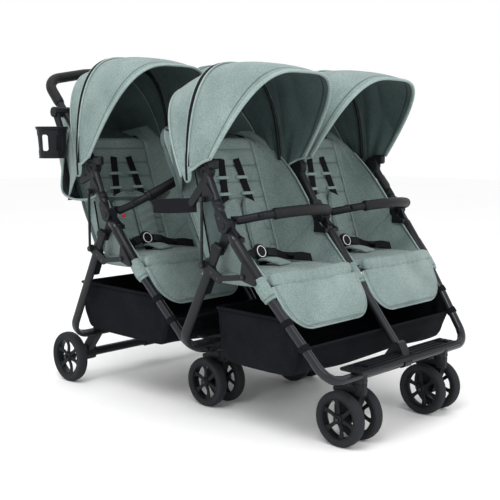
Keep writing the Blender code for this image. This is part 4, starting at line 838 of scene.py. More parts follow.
def wheelParts(kind, centre, outward):
    size = wheelKinds[kind]
    r, half = size["radius"], size["width"] / 2
    parts = []
    rim = r * 0.735
    t = np.linspace(0, np.pi, 19)
    crown = np.stack([-half * np.cos(t), r * 0.86 + r * 0.14 * np.sin(t) ** 0.55], -1)
    wall = mirrored([(-half * 0.80, rim), (-half * 0.93, rim + 0.0012), (-half * 0.95, r * 0.80),
                     (-half * 0.99, r * 0.805)])
    profile = np.vstack([wall[:4], crown[1:-1], wall[4:]])
    parts.append(turnedX("tyre", profile, centre, tyreRubber, 96, True))
    barrel = mirrored([(-half * 0.90, rim + 0.0008), (-half * 0.94, rim - 0.0016),
                       (-half * 0.84, rim - 0.0034), (-half * 0.30, rim - 0.0050)])
    parts.append(turnedX("barrel", barrel, centre, rimPlastic, 96, True))
    hub = [(-half * 0.9, 0.004), (-half * 0.95, r * 0.15), (-half * 0.8, r * 0.185), (half * 0.55, r * 0.19),
           (half * 0.98, r * 0.150), (half * 1.00, r * 0.12), (half * 0.90, r * 0.105), (half * 0.92, 0.001)]
    parts.append(turnedX("hub", hub, centre, rimPlastic, 40, side=outward))
    # spoke: its half width is 0.092 r at the hub and flares to 0.147 r at the rim, its face dished inwards
    along = np.linspace(0, 1, 12)
    reachOut = r * 0.13 + (rim - 0.003 - r * 0.13) * along
    flare = 0.062 + 0.030 * (1 - along) ** 3 + 0.085 * along ** 5
    dish = outward * half * (0.62 - 0.42 * hump(along) ** 0.8)
    section = ovalSection(1.0, 1.0, 16, 0.5)
    for i in range(6):
        turn = 2 * math.pi * i / 6 + 0.35
        out = np.array([0.0, math.cos(turn), math.sin(turn)])
        over = np.array([0.0, -math.sin(turn), math.cos(turn)])
        deep = half * 0.20
        points = (np.array(centre) + reachOut[:, None, None] * out
                  + (flare * r)[:, None, None] * section[None, :, :1] * over)
        points[..., 0] += (dish - outward * deep * 0.9)[:, None] + deep * section[None, :, 1]
        parts.append(loft("spoke", points, rimPlastic))
    return parts


# axle cap: low dome turned about X
def axleCap(centre, outward):
    profile = [(0.0, 0.0052), (0.0026, 0.0050), (0.0034, 0.0036), (0.0036, 0.0004)]
    return turnedX("axle", profile, centre, rivetSteel, 24, side=outward)


castor, large = wheelKinds["castor"], wheelKinds["large"]
for row, place in rows.items():
    for sideName, side in sides.items():
        parts = []
        for outward in (-1.0, 1.0):
            x, y = side * castor["x"] + outward * castor["apart"], castor["y"] + place["back"]
            parts += wheelParts("castor", (x, y, castor["radius"]), outward)
            parts.append(axleCap((x + outward * castor["cap"], y, castor["radius"]), outward))
        node = f"{row}_castor_wheels_{sideName}"
        joined(f"{row}_castor_tyres_{sideName}", parts, node, [node])
for sideName, side in sides.items():
    parts = wheelParts("large", (side * large["x"], large["y"], large["radius"]), side)
    parts.append(axleCap((side * (large["x"] + large["cap"]), large["y"], large["radius"]), side))
    node = "rear_wheel_" + sideName
    joined("rear_tyre_" + sideName, parts, node, [node])
print("wheels turned")


# canopies: point(lean, turn) lies on a bow whose radius and squareness follow its lean
canopy = {"pivotY": -0.120, "pivotZ": 0.625, "frontLean": 35.5, "midLean": -3.2, "rearLean": -27.0,
          "handleLean": -18.5, "frontReach": 0.421, "midReach": 0.373, "rearReach": 0.361,
          "frontHem": 0.150, "hem": 0.080, "square": 2.8, "visorSquare": 3.4, "wall": 0.0040, "gap": 0.0003,
          "outer": 0.3954, "inner": 0.0128, "sag": 0.0060, "lowered": {"front": 0.004, "rear": 0.047},
          "zipLean": 1.3, "pipingApart": 1.95}


def canopyShape(lean, turnShare, x, half, extra, row, sag):
    ahead = np.clip((lean - canopy["midLean"]) / (canopy["frontLean"] - canopy["midLean"]), 0, 1)
    behind = np.clip((lean - canopy["midLean"]) / (canopy["rearLean"] - canopy["midLean"]), 0, 1.3)
    reachOut = (canopy["midReach"] + (canopy["frontReach"] - canopy["midReach"]) * ahead ** 1.2
                + (canopy["rearReach"] - canopy["midReach"]) * behind + extra)
    hem = canopy["hem"] + (canopy["frontHem"] - canopy["hem"]) * ahead ** 1.5
    hem = hem - canopy["lowered"][row] * (1 + 0.35 * ahead)
    square = canopy["square"] + (canopy["visorSquare"] - canopy["square"]) * ahead
    start = np.arcsin((hem / reachOut) ** (square / 2))
    turn = start + (np.pi - 2 * start) * turnShare
    c, s = np.cos(turn), np.sin(turn)
    crown = hump(turnShare)
    reachOut = reachOut - sag * hump(ahead) * crown ** 0.7
    across = -half * np.sign(c) * np.abs(c) ** (2 / square)
    height = reachOut * s ** (2 / square)
    angle = np.radians(lean)
    y = canopy["pivotY"] + rows[row]["back"] - height * np.sin(angle)
    z = canopy["pivotZ"] + rows[row]["lift"] + height * np.cos(angle)
    return xyz(x + across, y, z)


# soft creases: waves that start at the lower tips and fade towards the crown
def tipCreases(u, v, size, seed):
    edge = bell(np.minimum(v, 1 - v), 0, 0.16)
    rays = np.sin(9.0 * u + 13.0 * v + seed) + 0.6 * np.sin(17.0 * u - 8.0 * v + 2.1 * seed)
    drape = 0.45 * np.sin(5.0 * u + 21.0 * np.minimum(v, 1 - v) + 1.3 * seed) * bell(
        np.minimum(v, 1 - v), 0.22, 0.12)
    return size * (edge * rays * np.sin(np.pi * np.clip(u * 1.1, 0, 1)) + drape * hump(u))


# gathers of the lining: narrow pleats that deepen towards the far tip, all on the inner side
def liningPleats(u, v, farEnd, size):
    near = bell(v, farEnd, 0.30)
    wave = np.abs(np.sin(7.5 * u + 6.0 * np.abs(v - farEnd) + 1.4 * np.sin(8.0 * v + 3.0 * u)))
    cross = 0.5 + 0.5 * np.sin(15.0 * np.abs(v - farEnd) - 6.0 * u)
    return size * near * wave * (0.55 + 0.45 * cross) * np.sin(np.pi * np.clip(u, 0, 1)) ** 0.5


# two cloth panels on the bows, with hems, zip, tongues, lining and a bow tube
def makeCanopy(row, sideName):
    side = sides[sideName]
    x = side * (canopy["outer"] + canopy["inner"]) / 2
    half = (canopy["outer"] - canopy["inner"]) / 2
    seed = 1.0 + 2.3 * side + (4.0 if row == "rear" else 0.0)
    node = f"{row}_canopy_front_{sideName}"
    centre = np.array([x, canopy["pivotY"] + rows[row]["back"], canopy["pivotZ"] + rows[row]["lift"]])
    # front panel, from the middle bow to the visor's edge
    u, v = spread(60, 161)
    lean = canopy["midLean"] + (canopy["frontLean"] - canopy["midLean"]) * u
    extra = canopy["wall"] + 3 * canopy["gap"]
    outer = canopyShape(lean, v, x, half, extra, row, canopy["sag"])
    normal = normalsTowards(outer, outer - centre)
    outer = outer + normal * tipCreases(u, v, 0.0022, seed)[..., None]
    pleats = liningPleats(u, v, 1.0, 0.0100) + liningPleats(u, v, 0.0, 0.0040)
    inner = outer - normal * (0.0024 + pleats)[..., None]
    hemSeam = bell(u, 0.915, 0.008)
    topSeam = bell(u, 0.115, 0.007) * 0.6
    # the inner face takes the darker green copy: painted shade inside the hood
    panel = thickSheet(f"{row}_canopy_cloth_{sideName}", outer, inner, [greenCloth, paintedShadeCloth],
                       {"seam": np.maximum(hemSeam, topSeam)})
    riding(panel, node, [node])
    # rolled hem on the visor's edge and along both side hems
    parts = [loft("hem", carried(outer[-1] - normal[-1] * 0.0012, ovalSection(0.0060, 0.0040, 20),
                                 normal[-1]), pipingCloth)]
    for column in (0, -1):
        line = outer[:, column] - normal[:, column] * 0.0012
        parts.append(loft("side_hem", carried(line, ovalSection(0.0040, 0.0034, 16), normal[:, column]),
                          pipingCloth))
    # zip over the middle bow between two pipings
    v1 = np.linspace(0.0, 1.0, 161)
    for offset, wide, thick, raised, material in ((0.0, 0.0076, 0.0018, 0.0036, zipTape),
                                                  (-1.0, 0.0028, 0.0026, 0.0018, pipingCloth),
                                                  (1.0, 0.0030, 0.0026, 0.0018, pipingCloth)):
        bowLean = np.full_like(v1, canopy["midLean"] + canopy["zipLean"] + offset * canopy["pipingApart"])
        line = canopyShape(bowLean, v1, x, half, extra + raised, row, 0.0)
        line[:, 0] = x + (line[:, 0] - x) * (1 + 0.5 * raised / half)
        up = line - centre
        up[:, 0] *= 0.8
        section = ovalSection(wide, thick, 16, 0.8)
        points = carried(line, section, up)
        parts.append(loft("zip", points, material, {"seam": 0.0, "ribs": section[:, 0]}))
    # rounded tongues under the bow's ends, with the zip's tail on them
    for end in (0, 1):
        tip = canopyShape(np.array([canopy["midLean"] + canopy["zipLean"]]), np.array([float(end)]), x, half,
                          extra, row, 0.0)[0]
        outwards = math.copysign(1.0, tip[0] - x)
        drop = np.array([0.020, 0.008, -0.002, -0.010, -0.017, -0.0215, -0.0235])
        path = tip + xyz(outwards * 0.0006, 0.05 * drop, drop)
        grow = np.array([[1.12, 1.0], [1.06, 1.0], [1.0, 1.0], [0.90, 1.0], [0.72, 0.95], [0.42, 0.8],
                         [0.08, 0.4]])
        points = carried(path, ovalSection(0.0175, 0.0034, 28), alongX, grow)
        parts.append(loft("tongue", points, greenCloth))
        tail = xyz(tip[0] + outwards * 0.0034, tip[1] + 0.05 * drop[:5], tip[2] + drop[:5])
        section = ovalSection(0.0048, 0.0014, 14, 0.8)
        parts.append(loft("tail", carried(tail, section, alongX), zipTape,
                          {"seam": 0.0, "ribs": section[:, 0]}))
    # bow tube under the cloth
    bow = canopyShape(np.full_like(v1, canopy["midLean"] + 2.6), v1, x, half - 0.014, -0.0165, row, 0.0)
    parts.append(roundTube("bow", bow[4:-4], 0.0048, mouldedPlastic, (0.0, 1.0, 0.0), 16, 0.02))
    trims = joined(f"{row}_canopy_trim_{sideName}", parts, node)
    declareSheet(outer)
    # rear panel, under the front one
    last = canopy["rearLean"] if row == "front" else canopy["handleLean"]
    u, v = spread(34, 121)
    lean = last + (canopy["midLean"] + 2.0 - last) * u
    inHalf = half - canopy["wall"] - 3 * canopy["gap"]
    outer = canopyShape(lean, v, x, inHalf, 0.0, row, 0.0)
    normal = normalsTowards(outer, outer - centre)
    pull = 0.0030 * hump(u) * hump(v) ** 0.5
    outer = outer + normal * (tipCreases(u, v, 0.0020, seed + 3.0) - pull)[..., None]
    inner = outer - normal * (0.0022 + liningPleats(u, v, 1.0, 0.0028))[..., None]
    seams = bell(u, 0.07, 0.014)
    # the inner face takes the darker green copy: painted shade inside the hood
    rearSheet = thickSheet(f"{row}_canopy_rear_cloth_{sideName}", outer, inner, [greenCloth, paintedShadeCloth],
                           {"seam": seams})
    riding(rearSheet, row + "_upper", [f"{row}_canopy_rear_{sideName}"])
    rim = loft(f"{row}_canopy_rear_hem_{sideName}",
               carried(outer[0] - normal[0] * 0.001, ovalSection(0.0034, 0.0030, 16), normal[0]), pipingCloth)
    riding(rim, row + "_upper")
    declareSheet(outer)


for row in rows:
    for sideName in sides:
        makeCanopy(row, sideName)
print("canopies sewn")


# half width of a pad along its length, as a share: drawn in at its top and foot
def padSides(share):
    top = np.clip((share - 0.86) / 0.14, 0, 1)
    low = np.clip((0.05 - share) / 0.05, 0, 1)
    return (1 - 0.26 * top ** 2.2) * (1 - 0.10 * low ** 2)


def linerSides(share):
    top = np.clip((share - 0.93) / 0.07, 0, 1)
    return (1 - 0.12 * share) * (1 - 0.16 * top ** 2.4)


# padded back: each channel swells by sin ^ 0.45 between its seams, the ends round off
def channelPad(name, pad, sideShape, mid, dy, cloth, body):
    share, ring = np.linspace(0, 1, 200), 72
    section = ovalSection(1.0, 1.0, ring, 0.42)
    whole = pad["channels"] - 1
    reached = share * (whole + 0.75)
    phase = np.minimum(reached, whole) + np.clip(reached - whole, 0, 1) / 0.75
    swell = np.abs(hump(phase)) ** 0.45
    ends = np.clip(np.minimum(share, 1 - share) / 0.022, 0, 1) ** 0.5
    along = pad["length"] * share
    wideness = pad["half"] * sideShape(share) * (1.0 - 0.018 * (1 - swell)) * (0.93 + 0.07 * ends)
    depth = pad["thick"] / 2 * (0.58 + 0.44 * swell) * (0.25 + 0.75 * ends)
    over = wideness[:, None] * section[None, :, 0]
    ahead = depth[:, None] * section[None, :, 1]
    facing = (section[None, :, 1] > 0)
    ahead = ahead + 0.0012 * np.sin(over * 90 + share[:, None] * 41) * facing * swell[:, None]
    ahead = ahead - 0.0022 * bell(over, 0, 0.014) * facing
    y, z = onPad(pad, along[:, None], ahead)
    points = xyz(mid + over, y + dy, z)
    seam = bell(swell, 0, 0.36)[:, None] * np.clip(section[None, :, 1] * 3, 0, 1)
    edgeSeam = bell(np.abs(section[None, :, 0]), 0.93, 0.03) * np.clip(section[None, :, 1] * 2, 0, 1)
    made = loft(name, points, cloth, {"seam": np.maximum(seam * 0.85, edgeSeam * 0.5)})
    return riding(made, body)


# one seat's back: shell, liner, pipings, head cloth and gussets
def makeBack(row, sideName):
    mid, dy = seatPlace(row, sideName)[1:]
    node = f"{row}_backrest_{sideName}"
    # the shell takes the darker green copy: painted shade on the back pad
    rearPad = channelPad(f"{row}_back_shell_{sideName}", shell, padSides, mid, dy, paintedShadeCloth, node)
    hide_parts(node)
    channelPad(f"{row}_back_liner_{sideName}", liner, linerSides, mid, dy, greenCloth, node)
    # piping down both edges of the liner, and beside each a black tube that is painted shadow for the gap
    # between pad and wing
    parts = []
    for edge in (-1.0, 1.0):
        s = np.linspace(0.02, 0.965, 60)
        y, z = onPad(liner, liner["length"] * s, 0.0080)
        line = xyz(mid + edge * (liner["half"] * linerSides(s) + 0.0012), y + dy, z)
        parts.append(roundTube("piping", line, 0.0024, pipingCloth, alongX, 12))
        line = line + np.array([edge * 0.0048, 0.008, -0.002])
        parts.append(roundTube("shade", line, 0.0026, zipTape, alongX, 12))
    joined(f"{row}_liner_piping_{sideName}", parts, node)
    # cloth from the liner's top back to the shell's top, hollowed by sin(pi t) (1 - s ^ 2), in the darker
    # green copy as painted shade
    t, s = spread(30, 41, -1.0)
    y0, z0 = onPad(liner, liner["length"] * 0.99, 0.0)
    y1, z1 = onPad(shell, shell["length"] * 0.97, 0.012)
    hollow = 0.012 * hump(t) * (1 - s ** 2) + 0.0016 * np.sin(8 * s + 5 * t)
    wide = liner["half"] * 0.80 * (1 - t) + shell["half"] * 0.80 * t
    grid = xyz(mid + wide * s, y0 + (y1 - y0) * t + dy + hollow * 0.4, z0 + (z1 - z0) * t - hollow)
    normal = normalsTowards(grid, alongZ)
    head = thickSheet(f"{row}_head_cloth_{sideName}", grid, grid - normal * clothThick, paintedShadeCloth,
                      {"seam": 0.6 * bell(t, 0.5, 0.03)})
    riding(head, node)
    declareSheet(grid)
    # gussets close the sides between liner and shell
    for edge in (-1.0, 1.0):
        t, s = spread(40, 16)
        y0, z0 = onPad(liner, liner["length"] * (0.03 + 0.95 * t), -0.004)
        y1, z1 = onPad(shell, shell["length"] * (0.03 + 0.93 * t), 0.010)
        x0 = mid + edge * liner["half"] * linerSides(0.03 + 0.95 * t) * 0.985
        x1 = mid + edge * shell["half"] * padSides(0.03 + 0.93 * t) * 0.985
        sway = 0.0030 * np.sin(14 * t + 3 * s) * hump(s)
        grid = xyz(x0 + (x1 - x0) * s - edge * (0.004 * hump(s) + sway), y0 + (y1 - y0) * s + dy,
                   z0 + (z1 - z0) * s)
        normal = normalsTowards(grid, (edge, 0.0, 0.0))
        name = f"{row}_back_gusset_{'near' if edge < 0 else 'far'}_{sideName}"
        # the gusset's back face takes the darker green copy: painted shade
        gusset = thickSheet(name, grid, grid - normal * 0.0018, [greenCloth, paintedShadeCloth],
                            {"seam": 0.5 * bell(s, 0.9, 0.05)})
        riding(gusset, node)
        declareSheet(grid)


# seats: closed cushion profile in Y and Z, crowned across X and drawn in at its sides
seat = {"half": 0.1640, "crown": 0.0050, "rollHalf": 0.1625, "rollY": -0.3935, "rollZ": 0.4375,
        "outline": [(-0.372, 0.412), (-0.388, 0.424), (-0.386, 0.441), (-0.372, 0.4495), (-0.345, 0.4515),
                    (-0.300, 0.4500), (-0.250, 0.4465), (-0.205, 0.4430), (-0.160, 0.4405), (-0.134, 0.4370),
                    (-0.1275, 0.4250), (-0.134, 0.4100), (-0.200, 0.4040), (-0.280, 0.4050),
                    (-0.340, 0.4080)]}


def makeSeat(row, sideName):
    mid, dy = seatPlace(row, sideName)[1:]
    body = row + "_chassis"
    node = f"{row}_seat_{sideName}"
    ring = through(seat["outline"], 110, True)
    v = np.linspace(-1, 1, 61)[:, None]
    rounded = (1 - np.abs(v) ** 9) ** 0.5 * 0.62 + 0.38
    ringY, ringZ = ring[None, :, 0], ring[None, :, 1]
    heartY, heartZ = ring.mean(axis=0)
    y = heartY + (ringY - heartY) * (0.965 + 0.035 * rounded)
    lifted = np.clip((ringZ - heartZ) / 0.02, -1, 1)
    z = heartZ + (ringZ - heartZ) * rounded
    z = z - seat["crown"] * np.abs(v) ** 4 * np.clip(lifted, 0, 1)
    z = z + 0.0012 * np.sin(v * 9 + ringY * 60) * np.clip(lifted, 0, 1)
    points = xyz(mid + seat["half"] * 0.985 * v, y + dy, z)
    dip = bell(ringY, -0.262, 0.0028) * np.clip(lifted, 0, 1)
    sideDip = bell(np.abs(v), 0.80, 0.014) * np.clip(lifted, 0, 1)
    cushion = loft(f"{row}_cushion_{sideName}", points, greenCloth,
                   {"seam": np.maximum(dip * 0.6, sideDip * 0.7)})
    riding(cushion, body, [node])
    # stitched roll along the front edge
    v = np.linspace(-1, 1, 81)
    ends = (1 - np.abs(v) ** 12) ** 0.5 * 0.45 + 0.55
    path = xyz(mid + seat["rollHalf"] * v, seat["rollY"] + dy + 0.004 * v ** 2,
               seat["rollZ"] - 0.0035 * (1 - v ** 2))
    section = ovalSection(0.0115, 0.0195, 36, 0.85)
    turned = math.radians(24)
    c, s = math.cos(turned), math.sin(turned)
    section = np.stack([section[:, 0] * c - section[:, 1] * s, section[:, 0] * s + section[:, 1] * c], -1)
    points = carried(path, section, alongZ, np.stack([ends, ends], -1))
    points = points + 0.0006 * np.sin(v * 40)[:, None, None]
    angle = np.arctan2(section[:, 1], section[:, 0])
    roll = loft(f"{row}_front_roll_{sideName}", points, greenCloth, {"seam": bell(angle, 2.25, 0.10)})
    riding(roll, body)
    makeCalf(row, sideName)


# calf panel: rows run down between the tubes; its half thickness falls to an edge all round
calf = {"topY": -0.3985, "topZ": 0.4215, "lowZ": 0.313, "corner": 0.070, "thick": 0.0150}


def makeCalf(row, sideName):
    side, dy, body = sides[sideName], rows[row]["back"], row + "_chassis"
    u = np.linspace(0, 1, 60)[:, None]
    lowY = tubeY(calf["lowZ"])
    y = calf["topY"] + (lowY - calf["topY"]) * u
    z = calf["topZ"] + (calf["lowZ"] - calf["topZ"]) * u
    length = math.hypot(lowY - calf["topY"], calf["lowZ"] - calf["topZ"])
    drop = np.clip(u * length - (length - calf["corner"]), 0, calf["corner"])
    inset = calf["corner"] - np.sqrt(np.clip(calf["corner"] ** 2 - drop ** 2, 0, None))
    inset = np.minimum(inset, calf["corner"] * 0.93)
    outerEdge = tubeX(z) - (tubes["radius"] + 0.0012) * 1.03
    near = 0.0160 + inset
    far = outerEdge - inset
    v = np.linspace(-1, 1, 81)[None]
    x = side * ((near + far) / 2 + (far - near) / 2 * v)
    edge = (1 - np.abs(v) ** 8) ** 0.5 * np.clip((1 - u) / 0.06, 0, 1) ** 0.5
    thick = calf["thick"] / 2 * (0.22 + 0.78 * edge)
    ny, nz = -math.cos(tubeLean), math.sin(tubeLean)
    bow = 0.004 * hump(u) * (1 - v ** 2)
    crease = 0.0009 * np.sin(11 * v + 9 * u) * edge
    frontGrid = xyz(x, y + dy + ny * (thick + bow + crease), z + nz * (thick + bow + crease))
    backGrid = xyz(x, y + dy - ny * (thick - bow), z - nz * (thick - bow))
    rim = np.maximum(bell(np.abs(v), 0.955, 0.012), bell(u, 0.955, 0.012))
    panel = thickSheet(f"{row}_calf_pad_{sideName}", frontGrid, backGrid, greenCloth, {"seam": rim * 0.55})
    riding(panel, body)
    border = np.concatenate([frontGrid[:, 0], frontGrid[-1, 1:-1], frontGrid[::-1, -1]]) * 0.5
    border = border + np.concatenate([backGrid[:, 0], backGrid[-1, 1:-1], backGrid[::-1, -1]]) * 0.5
    line = resample(border, 0.004)
    pipe = roundTube(f"{row}_calf_piping_{sideName}", line, pipeRadius, pipingCloth, (0.0, ny, nz), 12, 0.004)
    riding(pipe, body)


# side panels: a ruled sheet from liner edge to tube, pushed back and outwards by sin(pi s) sin(pi t)
def makeSides(row, sideName):
    side, mid, dy = seatPlace(row, sideName)
    lift = rows[row]["lift"]
    for label, edge in (("near", -1.0), ("far", 1.0)):
        atTube = edge * side > 0
        tubeAt = side * (elbow["half"] - 0.0145) if atTube else side * 0.0150
        hubAt = side * (upper["hubHalf"] - 0.0165) if atTube else side * 0.0150
        direction = math.copysign(1.0, tubeAt - mid)
        inner = [(mid + direction * 0.100, *onPad(shell, 0.425, 0.012)),
                 (mid + direction * 0.108, 0.014, 0.810)]
        for share in (0.985, 0.75, 0.5, 0.25, 0.015):
            inner.append((mid + direction * liner["half"] * float(linerSides(share)),
                          *onPad(liner, liner["length"] * share, 0.001)))
        t = np.linspace(0, 1, 80)[:, None]
        s = np.linspace(0, 1, 48)[None]
        innerLine = through(inner, 80)
        outerLine = through([(hubAt - direction * 0.030, -0.024, 0.820 + lift * 0.5),
                             (hubAt - direction * 0.012, -0.080, 0.776 + lift * 0.3),
                             (hubAt, upper["hubY"] + 0.020, upper["hubZ"]),
                             ((hubAt + tubeAt) / 2, -0.207, 0.640),
                             (tubeAt, elbow["y"] + 0.006, elbow["z"] - 0.002)], 80)
        grid = ruled(innerLine, outerLine, s)
        shape = hump(s) * hump(t)
        grid[..., 1] += 0.014 * shape
        grid[..., 0] += direction * 0.004 * shape
        folds = 0.0050 * np.sin(17 * s + 2.0 * t + side) * hump(s) * bell(t, 0, 0.45)
        folds = folds + 0.0020 * np.sin(6 * s - 9 * t) * shape
        grid[..., 1] += folds * np.sin(np.pi * np.clip(t * 1.02, 0, 1))
        grid[..., 1] += dy
        normal = normalsTowards(grid, (direction, 0.6, 0.0))
        seam = {"seam": 0.7 * bell(s, 0.955, 0.014)}
        # the wing's back face takes the darker green copy: painted shade
        wing = thickSheet(f"{row}_wing_{label}_{sideName}", grid, grid + normal * clothThick,
                          [greenCloth, paintedShadeCloth], seam)
        inner[-1][0] + shift[0] + direction * 0.004
        tubeAt + shift[0]
        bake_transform(wing)
        declareSheet(grid)
        # lower panel, from the seat's side to the tube below the elbow
        t = np.linspace(0, 1, 60)[:, None]
        seatSide = mid + direction * 0.146
        corner = innerLine[-1]
        innerLow = through([tuple(corner), (corner[0] + direction * 0.006, -0.185, 0.4330),
                            (seatSide, -0.235, 0.4310), (seatSide, -0.300, 0.4340),
                            (seatSide + direction * 0.002, -0.376, 0.4390)], 60)
        lowX = side * (float(tubeX(0.43)) - 0.0165) if atTube else side * 0.0158
        top = outerLine[-1]
        outerLow = through([tuple(top), ((tubeAt + lowX) / 2, (top[1] - 0.372) / 2, (top[2] + 0.436) / 2),
                            (lowX, -0.3745, 0.4360)], 60)
        grid = ruled(innerLow, outerLow, s)
        shape = hump(s) * hump(t)
        grid[..., 2] -= 0.004 * shape
        grid[..., 2] += 0.0026 * np.sin(10 * t - 6 * s + side) * shape
        grid[..., 1] += dy
        normal = normalsTowards(grid, alongZ)
        lower = thickSheet(f"{row}_side_cloth_{label}_{sideName}", grid, grid - normal * clothThick,
                           greenCloth, seam)
        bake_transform(lower)
        declareSheet(grid)
        # piped hem where both panels meet the tube
        for kind, line, first, up, part in (("wing", outerLine, 28, 0.0, "_upper"),
                                            ("side", outerLow, 6, 0.0006, "_chassis")):
            pipe = line + np.array([-direction * 0.002, -0.0012 + dy, up])
            hem = roundTube(f"{row}_{kind}_hem_{label}_{sideName}", pipe[first:], pipeRadius, pipingCloth,
                            alongX, 12)
            riding(hem, row + part)


# cloth sleeves where the seat hangs on the side tubes, round sections that swell by sin ^ 0.6
wraps = {"from": 0.168, "to": 0.232, "radius": 0.0176, "end": 0.0164}


def makeWraps(row):
    dy = rows[row]["back"]
    for sideName, side in (("right", -1.0), ("middle", 0.0), ("left", 1.0)):
        distance = np.linspace(wraps["from"], wraps["to"], 26)
        y, z = downTube(distance)
        x = side * tubeX(z)
        share = np.linspace(0, 1, 26)
        radius = wraps["radius"] + 0.0014 * hump(share) ** 0.6 + 0.0004 * np.sin(share * 19)
        radius[[0, -1]] = wraps["end"]
        grow = np.stack([radius, radius], -1)
        path = xyz(x, y + dy, z)
        points = carried(path, ovalSection(1.0, 1.0, 40), alongX, grow)
        t = fullTurn(40)
        bulge = 0.0007 * np.sin(3 * t + 1)[None] * hump(share)[:, None]
        points[..., 1] += bulge
        wrap = loft(f"{row}_tube_wrap_{sideName}", points, greenCloth,
                    {"seam": 0.8 * bell(share, 0.86, 0.03)[:, None]})
        riding(wrap, row + "_chassis")


# harness: webbing down the liner, padded chest pieces, belts to the buckle and its ring
harness = {"topApart": 0.030, "lowApart": 0.052, "web": 0.025, "thin": 0.0018, "padHalf": 0.038,
           "padApart": 0.0415, "buckleY": -0.196, "buckleZ": 0.478, "buckleTilt": math.radians(22.4),
           "belt": (0.0220, 0.0019), "crotch": (0.0250, 0.0020),
           "curls": {-1.0: [(-0.028, -0.002, -0.001), (-0.050, -0.010, -0.006), (-0.078, -0.004, -0.016),
                            (-0.104, 0.010, -0.019), (-0.122, -0.014, -0.022), (-0.126, -0.050, -0.023),
                            (-0.108, -0.066, -0.021), (-0.088, -0.052, -0.015)],
                     1.0: [(0.028, -0.002, -0.001), (0.052, -0.012, -0.004), (0.078, -0.020, -0.014),
                           (0.104, -0.030, -0.018), (0.128, -0.048, -0.020), (0.138, -0.070, -0.020),
                           (0.122, -0.086, -0.018), (0.098, -0.074, -0.012), (0.078, -0.060, -0.013)]}}


